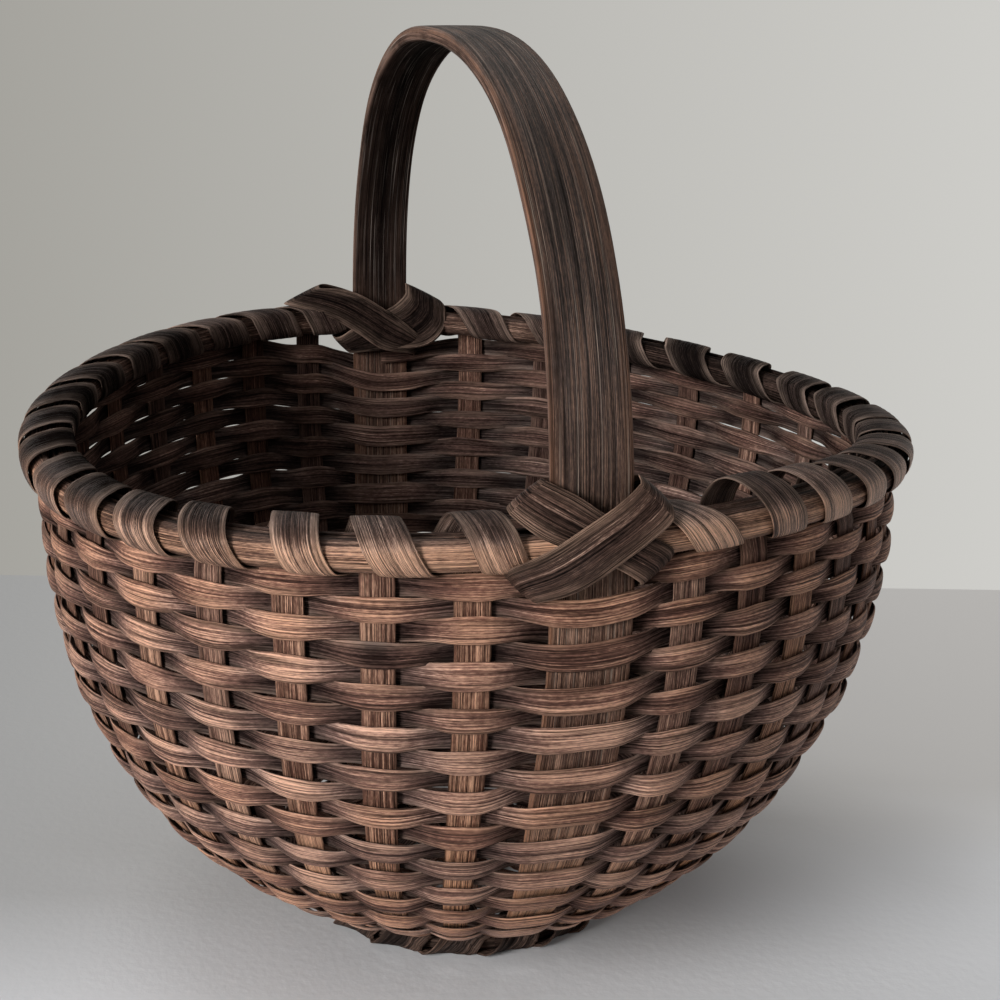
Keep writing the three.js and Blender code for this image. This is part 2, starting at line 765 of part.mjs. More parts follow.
// One wrap to each gap: under the ring, up the outside, through the weave, over a row or two and down again.
function addFootLashing() {
  const sections = [];
  const reach = footRingThickness / 2 + gap + footLashingThickness / 2;
  const bowSlack = footLashingWidth ** 2 / (2 * footRadius);
  const over = weaverThickness + stakeThickness + gap;
  for (let g = 0; g < armCount; g++) {
    const { inner, outer } = slotsBeside(g);
    sections.push(footLashingSection(g - 0.5 + armCount, reach));
    sections.push(slotSection(g, outer, over, 1));
    sections.push(slotSection(g, outer, -over, 1));
    sections.push(slotSection(g, inner, -over, -1));
    sections.push(slotSection(g, inner, over, -1));
    sections.push(footLashingSection(g, -reach - bowSlack));
  }
  addPiece('foot_lashing', sweep(sections, true), footWood);
}

const weave = spiralPoints();
settle(weave);

addHandle();
addSpokes();
addAddedStakes();
addWeavers(weave);
addHoops();
addFillers();
addRimLashings();
addHandleLashings();
addFootRing(weave);
addFootLashing();

export default basket;
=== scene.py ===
import math

import bpy
import numpy as np
from mathutils import Matrix, Vector


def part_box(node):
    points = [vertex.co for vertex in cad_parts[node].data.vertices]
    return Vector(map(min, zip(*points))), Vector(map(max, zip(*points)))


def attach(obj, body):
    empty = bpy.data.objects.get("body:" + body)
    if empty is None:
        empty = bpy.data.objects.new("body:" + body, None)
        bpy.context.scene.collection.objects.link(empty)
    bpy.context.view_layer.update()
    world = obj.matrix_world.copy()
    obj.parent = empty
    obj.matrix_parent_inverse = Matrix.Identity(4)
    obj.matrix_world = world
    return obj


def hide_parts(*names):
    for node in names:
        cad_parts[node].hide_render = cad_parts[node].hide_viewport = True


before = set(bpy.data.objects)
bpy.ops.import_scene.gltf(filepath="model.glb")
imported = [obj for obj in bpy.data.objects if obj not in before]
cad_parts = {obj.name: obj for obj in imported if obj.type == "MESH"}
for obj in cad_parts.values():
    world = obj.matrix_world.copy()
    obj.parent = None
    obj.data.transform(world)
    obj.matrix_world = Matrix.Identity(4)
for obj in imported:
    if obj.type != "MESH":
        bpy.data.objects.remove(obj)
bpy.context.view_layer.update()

# The basket's sizes in millimetres, the same as in the model of solids.
RIM_LENGTH = 356
RIM_WIDTH = 304
RIM_HEIGHT = 189
RIM_SADDLE = 5.4
RIM_SADDLE_TURN = 0.32
BASE_HEIGHT = 7.5
BASE_FULLNESS = 0.92
BELLY_DROP = 15
RIM_DRAW_IN = 2.4
BOWL_LEAN = 7
FOOT_SHIFT = 6
ROUND_SHARE = 0.36
OVAL_SHARE = 0.6

STAKE_THICKNESS = 1.2
STAKE_WIDTH = 10.5
HUB_WIDTH = 4.2
HUB_LAYER = 1.65
HUB_ORDER = [0, 4, 2, 6, 1, 5, 3, 7]
HUB_RAISE = 1.5
WEAVER_START_WIDTH = 4.6
BASE_WIDTH = 7
LOW_SWELL = 1.47
WEAVER_FILL = 0.91
WEAVER_SWELL = 1.32  # the woven splints overlap a little, so they are wider than the straight solids
WEAVER_THICKNESS = 1
BASE_START = 25
BASE_PITCH = 8
BASE_ROUNDS = 6
WALL_ROUNDS = 24.55
LOW_TO_TOP = 1.32
ROUNDS_PER_WEAVER = 2
SHORTEST_WEAVER = 1.6
EXTRA_ROUNDS = 0.96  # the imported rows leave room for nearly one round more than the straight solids
PACKED_FROM = 14
GAP = 0.35

RIGHT_STAKES = 15
LEFT_STAKES = 16
CROWDING = 0.13
CROWDING_BOW = 0.1
TAIL_ROOM = 0.25

HOOP_THICKNESS = 6.2
HOOP_HEIGHT = 9.4
STRIP_THICKNESS = 0.62  # the lashing's splint is thinner than its straight solid
NEAR_WRAP_WIDTH = 13.6
FAR_WRAP_WIDTH = 20
WRAP_WIDTH_SPREAD = 0.07  # how much the wraps differ in width, as a share of it
LASHING_SLOT = 2.4
FILLER_HEIGHT = 7.6

HANDLE_TOP = 320
HANDLE_WIDTH = 22.4
HANDLE_THICKNESS = 5.3
HANDLE_FULLNESS = 0.85
HANDLE_WAVER = 0.35
TAIL_WIDTH = 24
TAIL_THICKNESS = 3.2
TAIL_END_WIDTH = 6
TAIL_END_THICKNESS = 1.6
TAPER_FROM = 190

FOOT_RADIUS = 50
FOOT_RING_THICKNESS = 6
FOOT_LASHING_WIDTH = 9.5
FOOT_LASHING_THICKNESS = 0.9

STAKE_COUNT = RIGHT_STAKES + LEFT_STAKES + 2
RIM_SPACE = TAIL_THICKNESS + 2 * GAP
WALL_X = RIM_LENGTH / 2 - HOOP_THICKNESS - RIM_SPACE / 2 + RIM_DRAW_IN
WALL_Y = RIM_WIDTH / 2 - HOOP_THICKNESS - RIM_SPACE / 2 + RIM_DRAW_IN
MEAN_RADIUS = (WALL_X + WALL_Y) / 2
UP = np.array([0.0, 0.0, 1.0])
TAU = 2 * math.pi

# How finely the meshes are cut, in mm or in steps.
BOWL_STEPS = 160
DRAW_IN_STEPS = 6
STAKE_STEP = 3.0
HUB_STEPS = 16
ARCH_STEPS = 72
SPAN_STEPS = 12
HOOP_STEPS = 360
FILLER_STEPS = 160
WRAP_STEPS = 52
LOOP_STEPS = 120
FOOT_RING_STEPS = 180
FOOT_WRAP_STEPS = 30


def lerp(a, b, t):
    return a + (b - a) * t


def smooth(t):
    t = np.clip(t, 0, 1)
    return t * t * (3 - 2 * t)


def rise(value, start, reach):
    """0 up to start, 1 from start + reach on, and a smooth change between."""
    return smooth((value - start) / reach)


def part_way(value, start, end):
    return np.clip((value - start) / (end - start), 0, 1)


def softened(value, power):
    return np.sign(value) * np.abs(value) ** power


def unit(v):
    return v / np.linalg.norm(v, axis=-1, keepdims=True)


def full_circle(steps):
    return np.linspace(0, TAU, steps + 1)[:-1]


def wander(x, spacing, seed):
    """Smooth random values from -1 to 1 along x."""
    x = np.asarray(x, float) / spacing
    low = math.floor(x.min()) - 1
    values = np.random.default_rng(seed).uniform(-1, 1, int(x.max() - low) + 4)
    i = np.floor(x).astype(int) - low
    f = x - np.floor(x)
    f = f * f * (3 - 2 * f)
    return values[i] * (1 - f) + values[i + 1] * f


def uneven(half, u, share, spacing, seeds):
    """Half widths to the left and right, which wander by a share of themselves."""
    return [half * (1 + share * wander(u, spacing, seed)) for seed in seeds]


# The bowl's outline and surface.

def make_outline():
    """The bowl's radius as a share of the rim's, its height, and the distance up the wall from the middle."""
    belly = RIM_HEIGHT - BELLY_DROP
    angle = np.linspace(0, math.pi / 2, BOWL_STEPS + 1)
    share = np.sin(angle) ** BASE_FULLNESS
    height = BASE_HEIGHT + (belly - BASE_HEIGHT) * (1 - np.clip(np.cos(angle), 0, 1) ** BASE_FULLNESS)
    t = np.arange(1, DRAW_IN_STEPS + 1) / DRAW_IN_STEPS
    share = np.append(share, 1 - RIM_DRAW_IN / MEAN_RADIUS * t * t)
    height = np.append(height, belly + BELLY_DROP * t)
    step = np.hypot(np.diff(share) * MEAN_RADIUS, np.diff(height))
    return share, height, np.append(0, np.cumsum(step))


OUT_SHARE, OUT_HEIGHT, OUT_ALONG = make_outline()
WALL_LENGTH = OUT_ALONG[-1]
RIM_ALONG = WALL_LENGTH - HOOP_HEIGHT / 2
ROWS_TOP = RIM_ALONG - HOOP_HEIGHT / 2 - LASHING_SLOT
WALL_START = BASE_START + BASE_PITCH * BASE_ROUNDS
TOP_PITCH = 2 * (ROWS_TOP - WALL_START) / (WALL_ROUNDS * (1 + LOW_TO_TOP) + WEAVER_FILL)
LOW_PITCH = LOW_TO_TOP * TOP_PITCH
WEAVER_WIDTH = WEAVER_FILL * TOP_PITCH
LAST_ROUND = BASE_ROUNDS + WALL_ROUNDS + EXTRA_ROUNDS
HUB_EDGE = BASE_START - BASE_PITCH / 2 - WEAVER_START_WIDTH / 2
FOOT_ALONG = OUT_ALONG[np.argmax(OUT_SHARE * MEAN_RADIUS >= FOOT_RADIUS)]
ADDED_START = WALL_START - BASE_PITCH / 2
# How far apart the wall is measured for its directions, in mm and as an angle.
FRAME_REACH = 3.0
TURN_REACH = 0.01


def wall(turn, along):
    """Points of the woven surface's middle."""
    turn, along = np.broadcast_arrays(np.asarray(turn, float), np.asarray(along, float))
    share = np.interp(along, OUT_ALONG, OUT_SHARE)
    height = np.interp(along, OUT_ALONG, OUT_HEIGHT)
    oval = part_way(share, ROUND_SHARE, OVAL_SHARE) * (WALL_X - WALL_Y) / 2
    deep = 1 - share
    lean = FOOT_SHIFT * deep - (BOWL_LEAN + FOOT_SHIFT / 2) * 4 * deep * (1 - deep) * share
    lift = RIM_SADDLE * np.cos(2 * (turn - RIM_SADDLE_TURN)) * (height / RIM_HEIGHT) ** 2
    x = share * (MEAN_RADIUS + oval) * np.cos(turn)
    y = share * (MEAN_RADIUS - oval) * np.sin(turn) + lean
    return np.stack([x, y, height + lift], -1)


def frames(turn, along):
    """The surface's directions at points: up the wall, round the basket and outward."""
    along = np.asarray(along, float)
    low = np.maximum(along - FRAME_REACH, 1)
    high = np.minimum(along + FRAME_REACH, WALL_LENGTH)
    upward = unit(wall(turn, high) - wall(turn, low))
    around = unit(wall(turn + TURN_REACH, along) - wall(turn - TURN_REACH, along))
    out = unit(np.cross(around, upward))
    return upward, np.cross(upward, out), out


# Where the stakes stand.

def even_turn(i, count):
    return math.pi * (i + TAIL_ROOM) / (count + 1 + 2 * TAIL_ROOM)


def stake_turns():
    turns = [0.0]
    for i in range(1, RIGHT_STAKES + 1):
        even = even_turn(i, RIGHT_STAKES)
        turns.append(even - CROWDING * math.sin(even) - CROWDING_BOW * math.sin(even) ** 2)
    turns.append(math.pi)
    for i in range(1, LEFT_STAKES + 1):
        turns.append(math.pi + even_turn(i, LEFT_STAKES))
    return turns


TURNS = stake_turns()
FAR_TAIL = RIGHT_STAKES + 1
TAILS = (0, FAR_TAIL)


def turn_of(i):
    return TURNS[i % STAKE_COUNT] + TAU * math.floor(i / STAKE_COUNT)


def half_turn(i):
    return (TAIL_WIDTH if i % STAKE_COUNT in TAILS else STAKE_WIDTH) / (2 * WALL_Y)


def gap_turn(i):
    return (turn_of(i) + half_turn(i) + turn_of(i + 1) - half_turn(i + 1)) / 2


def rim_turn(t):
    """The angle `t` gaps round the rim: whole numbers are the middles of the gaps between stakes."""
    t = np.asarray(t, float)
    whole = np.arange(math.floor(t.min()), math.ceil(t.max()) + 2)
    return np.interp(t, whole, [gap_turn(int(w)) for w in whole])


def spoke_pairs():
    pairs = []
    for i in range(1, RIGHT_STAKES + 1, 2):
        from_far_tail = i if i < (RIGHT_STAKES + 1) / 2 else i + 1
        pairs.append((i, FAR_TAIL + from_far_tail))
    return pairs


SPOKES = spoke_pairs()
SPLIT_STAKE = FAR_TAIL + LEFT_STAKES // 2 + 1
SPOKE_ENDS = {i for pair in SPOKES for i in pair}
BASE_ARMS = [i for i in range(STAKE_COUNT) if i == SPLIT_STAKE or i in SPOKE_ENDS]
SPLIT_BEND = (48, 32)  # where along it the split stake starts to bend aside, and over how much


def stake_turn(i, along):
    """The split stake starts midway between its neighbours and bends over to its own place."""
    along = np.asarray(along, float)
    if i != SPLIT_STAKE:
        return np.full(along.shape, TURNS[i])
    arm = BASE_ARMS.index(i)
    middle = (TURNS[BASE_ARMS[arm - 1]] + TURNS[BASE_ARMS[arm + 1]]) / 2
    return lerp(middle, TURNS[i], rise(along, *SPLIT_BEND))


def stake_width(along):
    return lerp(HUB_WIDTH, STAKE_WIDTH, part_way(along, BASE_START, TAPER_FROM))


def tail_width(along):
    return lerp(TAIL_END_WIDTH, TAIL_WIDTH, part_way(along, ADDED_START, TAPER_FROM))


def tail_thickness(along):
    return lerp(TAIL_END_THICKNESS, TAIL_THICKNESS, part_way(along, ADDED_START, RIM_ALONG))


def row_along(rounds):
    """How far up the wall the spiral is after a number of rounds."""
    rounds = np.asarray(rounds, float)
    on_wall = np.maximum(0, rounds - BASE_ROUNDS)
    in_base = np.minimum(rounds, BASE_ROUNDS)
    closing = (LOW_PITCH - TOP_PITCH) / (2 * WALL_ROUNDS)
    return BASE_START + BASE_PITCH * in_base + LOW_PITCH * on_wall - closing * on_wall * on_wall


# Where the weavers' swell changes up the wall, and where they leave the base's width: start and reach.
SWELL_CHANGE = (110, 80)
BASE_TO_WALL = (15, 60)


def weaver_width(along):
    closing = (LOW_PITCH ** 2 - TOP_PITCH ** 2) / (ROWS_TOP - WEAVER_WIDTH / 2 - WALL_START)
    pitch = np.sqrt(LOW_PITCH ** 2 - closing * np.maximum(0, along - WALL_START))
    swell = lerp(LOW_SWELL, WEAVER_SWELL, rise(along, *SWELL_CHANGE))
    return lerp(BASE_WIDTH, WEAVER_FILL * pitch * swell, rise(along - BASE_START, *BASE_TO_WALL))


def added_stake_start(turn):
    return float(row_along(BASE_ROUNDS - 1 + turn / TAU)) + WEAVER_WIDTH / 2 + GAP


# Meshes are made of strips: runs of rings, with lengthwise and crosswise coordinates for the grain.

class Piece:
    """One splint or hoop, which stands for the CAD node of its name."""

    def __init__(self, node, slot):
        self.node = node
        self.slot = slot
        self.points, self.faces, self.uv, self.look = [], [], [], []
        self.count = 0

    def add(self, rings, u, v, look, closed=False):
        """rings (n, k, 3) in mm, u (n,) and v (k + 1,) in mm, look (n, k, 4)."""
        n, k = rings.shape[:2]
        i = np.arange(n if closed else n - 1)[:, None]
        j = np.arange(k)[None, :]
        i2, j2 = (i + 1) % n, (j + 1) % k
        corners = np.broadcast_arrays(i * k + j, i * k + j2, i2 * k + j2, i2 * k + j)
        quads = np.stack(corners, -1).reshape(-1, 4)
        u_next = np.append(u[1:], u[-1] + (u[-1] - u[-2])) if closed else np.append(u[1:], u[-1])
        u0, u1, v0, v1 = np.broadcast_arrays(u[i], u_next[i], v[j], v[j + 1])
        corner_uv = [np.stack(pair, -1) for pair in ((u0, v0), (u0, v1), (u1, v1), (u1, v0))]
        self.faces += (quads + self.count).tolist()
        self.uv.append(np.stack(corner_uv, -2).reshape(-1, 2))
        if not closed:
            self.add_end(0, list(range(k))[::-1], u, v)
            self.add_end(n - 1, list(range(k)), u, v)
        self.points.append(rings.reshape(-1, 3))
        self.look.append(look.reshape(-1, 4))
        self.count += n * k

    def add_end(self, ring, order, u, v):
        """The flat face over one end of a strip."""
        k = len(order)
        self.faces.append([self.count + ring * k + corner for corner in order])
        self.uv.append(np.stack([np.full(k, u[ring]) + np.arange(k) * 0.1, v[:-1][order]], -1))

    def build(self):
        mesh = bpy.data.meshes.new(self.node + "_wood")
        points = np.concatenate(self.points) / 1000
        mesh.from_pydata(points.tolist(), [], self.faces)
        uv = mesh.uv_layers.new(name="UVMap")
        uv.data.foreach_set("uv", (np.concatenate(self.uv) / 1000).ravel())
        look = mesh.color_attributes.new(name="look", type="FLOAT_COLOR", domain="POINT")
        look.data.foreach_set("color", np.concatenate(self.look).ravel())
        mesh.shade_smooth()
        mesh.materials.append(MATERIALS[self.slot])
        piece = bpy.data.objects.new(self.node + "_wood", mesh)
        bpy.context.collection.objects.link(piece)
        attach(piece, "root")
        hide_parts(self.node)


def make_piece(node, slot, rings, u, v, look, closed=False):
    """A piece of one strip."""
    piece = Piece(node, slot)
    piece.add(rings, u, v, look, closed)
    piece.build()


# Sections: (across, out) from -1 to 1.
SPLINT = np.array([
    [-0.99, 0.25], [-0.93, 0.70], [-0.75, 0.90], [-0.40, 0.98], [0, 1.0], [0.40, 0.98], [0.75, 0.90],
    [0.93, 0.70], [0.99, 0.25], [0.97, -0.60], [0.80, -0.94], [0, -1.0], [-0.80, -0.94], [-0.97, -0.60],
])


def loop_lengths(corners):
    """Distances round a closed line of corners, from the first one back to it."""
    step = np.linalg.norm(np.roll(corners, -1, 0) - corners, axis=1)
    return np.append(0, np.cumsum(step))


def section_v(section, width, thickness):
    """Distances round a section, measured from its first point."""
    return loop_lengths(section * np.array([width / 2, thickness / 2]))


def section_rings(section, centre, across, out, left, right, thickness, cup=0.0):
    """Rings of a strip. left and right are its half widths; cup bends its edges outward, in mm."""
    a = section[None, :, 0]
    b = section[None, :, 1]
    reach = np.where(a < 0, np.reshape(left, (-1, 1)), np.reshape(right, (-1, 1))) * a
    raised = np.reshape(thickness, (-1, 1)) / 2 * b + np.reshape(cup, (-1, 1)) * a * a
    return centre[:, None, :] + reach[..., None] * across[:, None, :] + raised[..., None] * out[:, None, :]


# The channels of the colour attribute "look".
# The exposure channel carries both dirt and painted shade: it is low where the wood lies hidden or turned
# from the light.
TONE, EDGE, EXPOSURE_TO_LIGHT_AND_WEAR, HUE = 0, 1, 2, 3


def section_look(section, tone, exposure_out, exposure_in, hue=0.5):
    """The look of a strip's points: pale or dark, near an edge, open or hidden, which paints dirt and shade
    on it, and red or grey.
    """
    look = np.empty((len(tone), len(section), 4))
    outer = (section[:, 1] > 0)[None, :]
    look[..., TONE] = np.reshape(tone, (-1, 1))
    look[..., EDGE] = np.abs(section[None, :, 0]) ** 3
    look[..., EXPOSURE_TO_LIGHT_AND_WEAR] = np.where(outer, np.reshape(exposure_out, (-1, 1)), np.reshape(exposure_in, (-1, 1)))
    look[..., HUE] = hue
    return look


def lengths(points):
    """Distances along a path from its first point."""
    return np.append(0, np.cumsum(np.linalg.norm(np.diff(points, axis=0), axis=1)))


def path_frames(points, outward):
    """Directions across and out at each point of a path, from rough outward directions."""
    course = unit(np.gradient(points, axis=0))
    out = unit(outward - course * np.sum(outward * course, -1, keepdims=True))
    return np.cross(course, out), out


# Materials

# The sockets of a Mix node that mixes colours.
MIX_SHARE, MIX_FIRST, MIX_SECOND = 0, 6, 7
MIX_RESULT = 2


def srgb(color):
    """The linear colour of a colour given as three values from 0 to 255."""
    shares = [value / 255 for value in color]
    return tuple(c / 12.92 if c <= 0.04045 else ((c + 0.055) / 1.055) ** 2.4 for c in shares)


class Net:
    """The node tree of a material or of the world."""

    def __init__(self, owner):
        owner.use_nodes = True
        self.nodes = owner.node_tree.nodes
        self.links = owner.node_tree.links

    def put(self, socket, value):
        """An input's value, which is another node's output, a plain colour or a number."""
        if isinstance(value, bpy.types.NodeSocket):
            self.links.new(value, socket)
        else:
            socket.default_value = (*value, 1) if socket.type == "RGBA" else value

    def add(self, kind, inputs=None, **settings):
        made = self.nodes.new("ShaderNode" + kind)
        for name, value in settings.items():
            setattr(made, name, value)
        for name, value in (inputs or {}).items():
            self.put(made.inputs[name], value)
        return made

    def math(self, operation, *values, clamped=False):
        made = self.add("Math", dict(enumerate(values)), operation=operation, use_clamp=clamped)
        return made.outputs[0]

    def scaled(self, value, factor, added=0.0, clamped=False):
        return self.math("MULTIPLY_ADD", value, factor, added, clamped=clamped)

    def centred(self, value):
        return self.math("SUBTRACT", value, 0.5)

    def mix(self, share, color, other):
        inputs = {MIX_SHARE: share, MIX_FIRST: color, MIX_SECOND: other}
        return self.add("Mix", inputs, data_type="RGBA").outputs[MIX_RESULT]

    def ramp(self, place, stops):
        """The colour at a place from 0 to 1, between stops of a place and a colour."""
        made = self.add("ValToRGB", {0: place})
        elements = made.color_ramp.elements
        while len(elements) < len(stops):
            elements.new(0.5)
        for element, (position, color) in zip(elements, stops):
            element.position = position
            element.color = (*color, 1)
        return made.outputs[0]

    def seen_directly(self):
        """1 for rays from the camera, also through glass or by reflection, and 0 for all others."""
        ray = self.add("LightPath").outputs
        either = self.math("MAXIMUM", ray["Is Camera Ray"], ray["Is Transmission Ray"])
        return self.math("MAXIMUM", either, ray["Is Glossy Ray"])

    def choose(self, share, first, second, end):
        """Blend two shaders into the tree's last node."""
        chosen = self.add("MixShader", {0: share, 1: first.outputs[0], 2: second.outputs[0]})
        self.put(self.nodes[end].inputs["Surface"], chosen.outputs[0])


def wood_stops(dark, mid, light):
    """A ramp from dark hollows to pale wood."""
    dark, mid, light = srgb(dark), srgb(mid), srgb(light)
    between = tuple(lerp(a, b, 0.5) for a, b in zip(dark, mid))
    return [(0.0, dark), (0.3, between), (0.52, mid), (0.95, light)]


def grain_layer(net, uv, along, across, detail, roughness, offset):
    """Noise stretched along the grain: cells per metre each way, and where in the noise it is taken."""
    place = net.add("Mapping", {"Vector": uv})
    place.inputs["Scale"].default_value = (along, across, 1)
    place.inputs["Location"].default_value = (offset, offset * 1.7, offset * 0.3)
    settings = {"Vector": place.outputs[0], "Scale": 1, "Detail": detail, "Roughness": roughness}
    return net.add("TexNoise", settings, noise_dimensions="2D").outputs["Fac"]


def wood_grain(net, uv, rings):
    """The layers of a splint's grain. rings are the growth lines' cells per metre along and across."""

    def layer(*values):
        return grain_layer(net, uv, *values)

    def lines_in(source, half_width):
        """Thin lines where the noise crosses its middle."""
        away = net.math("ABSOLUTE", net.centred(source))
        return net.scaled(away, -1 / half_width, 1.0, clamped=True)

    along, across = rings
    growth = lines_in(layer(along, across, 1.5, 0.45, 1.9), 0.07)
    thin = lines_in(layer(along * 2.2, across * 2.0, 1.5, 0.5, 4.4), 0.08)
    patchy = net.scaled(layer(30, 500, 2, 0.5, 9.2), 2.4, -0.5, clamped=True)
    broken = net.math("MULTIPLY", net.math("MULTIPLY", thin, patchy), 0.85)
    return {
        "line": net.math("MAXIMUM", growth, broken),
        "fine": layer(24, 2600, 3, 0.65, 0.0),
        "broad": layer(4, across * 0.42, 2, 0.5, 7.3),
        "blotch": layer(38, 130, 4, 0.65, 3.1),
        "specks": layer(420, 2600, 2, 0.6, 5.7),
    }


GRAIN_AMOUNTS = {"fine": 1.25, "broad": 0.6, "blotch": 0.5, "specks": 0.6}
TONE_MIDDLE = 0.53
TONE_REACH = 0.6
OPEN_WOOD = 0.6  # the exposure at which dirt and painted shade change nothing
DIRT_AND_PAINTED_SHADE = 0.7
LINE_DARKNESS = 0.4
BUMP_DEPTH = 0.0006


def wood_surface(net, grain, value, shade, rough, bump, gloss):
    """How rough, bumpy and shiny the wood is. Hollows, grooves and the insides are matt with dirt."""
    roughness = net.scaled(grain["fine"], rough[1] - rough[0], rough[0])
    roughness = net.scaled(shade, -0.18, roughness, clamped=True)
    height = net.scaled(grain["broad"], 0.7, net.scaled(grain["line"], -0.5, grain["fine"]))
    bumped = net.add("Bump", {"Strength": bump, "Distance": BUMP_DEPTH, "Height": height})
    shine = net.scaled(shade, 0.6, gloss, clamped=True)
    shine = net.math("MULTIPLY", shine, net.scaled(value, 1.3, 0.2, clamped=True))
    shine = net.math("MULTIPLY", shine, net.scaled(grain["line"], -0.75, 1.0))
    return {"Roughness": roughness, "Normal": bumped.outputs[0], "Specular IOR Level": shine}


def wood(name, dark, mid, light, edge, lines, rings=(7, 1050), rough=(0.5, 0.78), bump=0.7, gloss=0.32,
         edge_floor=0.0, scuffs=None, tail=None):
    """Old splint: thin dark growth lines and fibres along it, hollows darkened with dirt and painted shade,
    and paler worn edges.
    """
    material = bpy.data.materials.new(name)
    net = Net(material)
    look = net.add("VertexColor", layer_name="look").outputs
    tone, near_edge, exposure = net.add("SeparateColor", {0: look["Color"]}).outputs[:3]
    hue = look["Alpha"]
    uv = net.add("UVMap", uv_map="UVMap").outputs[0]
    grain = wood_grain(net, uv, rings)

    # from dark to pale: the splint's own tone, its grain, and dirt and painted shade where it lies hidden or
    # turned from the light
    value = net.scaled(net.centred(tone), TONE_REACH, TONE_MIDDLE)
    for layer, amount in GRAIN_AMOUNTS.items():
        value = net.scaled(net.centred(grain[layer]), amount, value)
    shade = net.math("SUBTRACT", exposure, OPEN_WOOD)
    value = net.scaled(shade, DIRT_AND_PAINTED_SHADE, value)
    color = net.ramp(value, wood_stops(dark, mid, light))
    if tail is not None:
        # the handle's thinned tails are as brown as the stakes; hue tells where they are
        color = net.mix(hue, color, net.ramp(value, wood_stops(*tail)))

    # worn, paler edges and scuffs, and dark growth lines
    wear = net.scaled(grain["blotch"], 2.2, edge_floor - 0.65, clamped=True)
    edge_wear = net.math("MULTIPLY", near_edge, wear)
    color = net.mix(net.math("MULTIPLY", edge_wear, 0.8, clamped=True), color, srgb(edge))
    if scuffs is not None:
        streaks = grain_layer(net, uv, 9, 1500, 3, 0.7, 11.7)
        scuffed = net.scaled(streaks, 9, -5.3, clamped=True)
        color = net.mix(net.math("MULTIPLY", scuffed, 0.7), color, srgb(scuffs))
    line_color = tuple(LINE_DARKNESS * c for c in srgb(dark))
    color = net.mix(net.math("MULTIPLY", grain["line"], lines), color, line_color)

    # a little redder or greyer from splint to splint, and greyer where dirt and painted shade darken it
    strength = 1.0 if tail is not None else net.scaled(hue, 0.5, 0.8)
    shift = net.add("HueSaturation", {"Saturation": net.scaled(shade, 0.5, strength), "Color": color})
    shader = net.nodes["Principled BSDF"]
    net.put(shader.inputs["Base Color"], shift.outputs[0])
    for socket, output in wood_surface(net, grain, value, shade, rough, bump, gloss).items():
        net.put(shader.inputs[socket], output)
    return material


# Colours are red, green and blue from 0 to 255.
WOODS = {
    "weaver_wood": dict(
        dark=(38, 24, 21), mid=(125, 90, 78), light=(240, 192, 166), edge=(196, 157, 134), lines=0.9),
    "stake_wood": dict(
        dark=(40, 25, 21), mid=(119, 84, 71), light=(232, 186, 159), edge=(140, 109, 91), lines=0.92,
        rings=(6, 1150), bump=0.8),
    # On the handle the paler worn edges (edge_floor) are partly wear and partly a painted highlight along
    # them.
    "handle_wood": dict(
        dark=(17, 11, 9), mid=(45, 32, 26), light=(112, 84, 69), edge=(152, 106, 80), lines=0.85,
        rings=(5, 1300), rough=(0.48, 0.74), bump=0.6, gloss=0.36, edge_floor=0.35, scuffs=(160, 142, 128),
        tail=((40, 26, 21), (100, 71, 58), (190, 150, 126))),
    "hoop_wood": dict(
        dark=(28, 20, 16), mid=(112, 83, 70), light=(232, 188, 162), edge=(176, 138, 114), lines=0.9,
        rings=(6, 1100), gloss=0.36),
    "lashing_wood": dict(
        dark=(24, 17, 15), mid=(106, 77, 65), light=(250, 206, 180), edge=(212, 172, 146), lines=0.95,
        rings=(7, 1200), rough=(0.34, 0.6), gloss=0.4),
    "foot_wood": dict(
        dark=(17, 13, 12), mid=(54, 41, 36), light=(140, 112, 97), edge=(112, 88, 75), lines=0.8),
}
MATERIALS = {name: wood(name, **values) for name, values in WOODS.items()}


# Weavers

def spiral_points():
    """Every crossing of the one long spiral."""
    points = []
    side = 1
    for rnd in range(math.ceil(LAST_ROUND)):
        in_base = rnd < BASE_ROUNDS
        for i in BASE_ARMS if in_base else range(STAKE_COUNT):
            rounds = TURNS[i] / TAU + rnd
            if rounds > LAST_ROUND:
                return points
            along = float(row_along(rounds))
            turn = float(stake_turn(i, along))
            wide = i in TAILS and not in_base
            width = tail_width(along) if wide else stake_width(along)
            points.append({"turn": turn, "total": turn + TAU * rnd, "rounds": rounds, "along": along,
                           "side": side, "wide": wide, "half": float(width) / 2})
            side = -side
    return points


def weaver_ends(points):
    """Where each weaver starts and ends: behind a stake, where the next one begins."""
    ends = []
    start = 0
    while start < len(points) - 1:
        goal = points[start]["rounds"] + (BASE_ROUNDS if start == 0 else ROUNDS_PER_WEAVER)
        behind = [i for i, p in enumerate(points) if p["rounds"] >= goal and p["side"] < 0 and not p["wide"]]
        end = behind[0] if behind else len(points) - 1
        if points[-1]["rounds"] - points[end]["rounds"] < SHORTEST_WEAVER:
            end = len(points) - 1
        ends.append((start, end))
        start = end
    return ends


TOUCH_GAP = 0.05
LOOSE_GAP = 0.25
FLAT_ON_TAIL = 0.85
FLAT_ON_STAKE = 0.4
MOST_FLAT = 0.3


def weaver_lift(point):
    """How far the weaver stands off the wall's middle where it crosses a stake. Inward is below 0."""
    clear = WEAVER_THICKNESS / 2 + TOUCH_GAP
    if point["wide"] and point["side"] < 0:
        lift = float(tail_thickness(point["along"])) - STAKE_THICKNESS / 2 + clear
    else:
        lift = STAKE_THICKNESS / 2 + clear + LOOSE_GAP
    return point["side"] * lift * point["bulge"]


def flat_share(point, span):
    """The share of a span on which the weaver lies flat on its stake."""
    flat = point["half"] * (FLAT_ON_TAIL if point["wide"] else FLAT_ON_STAKE)
    return min(flat, span * MOST_FLAT) / span


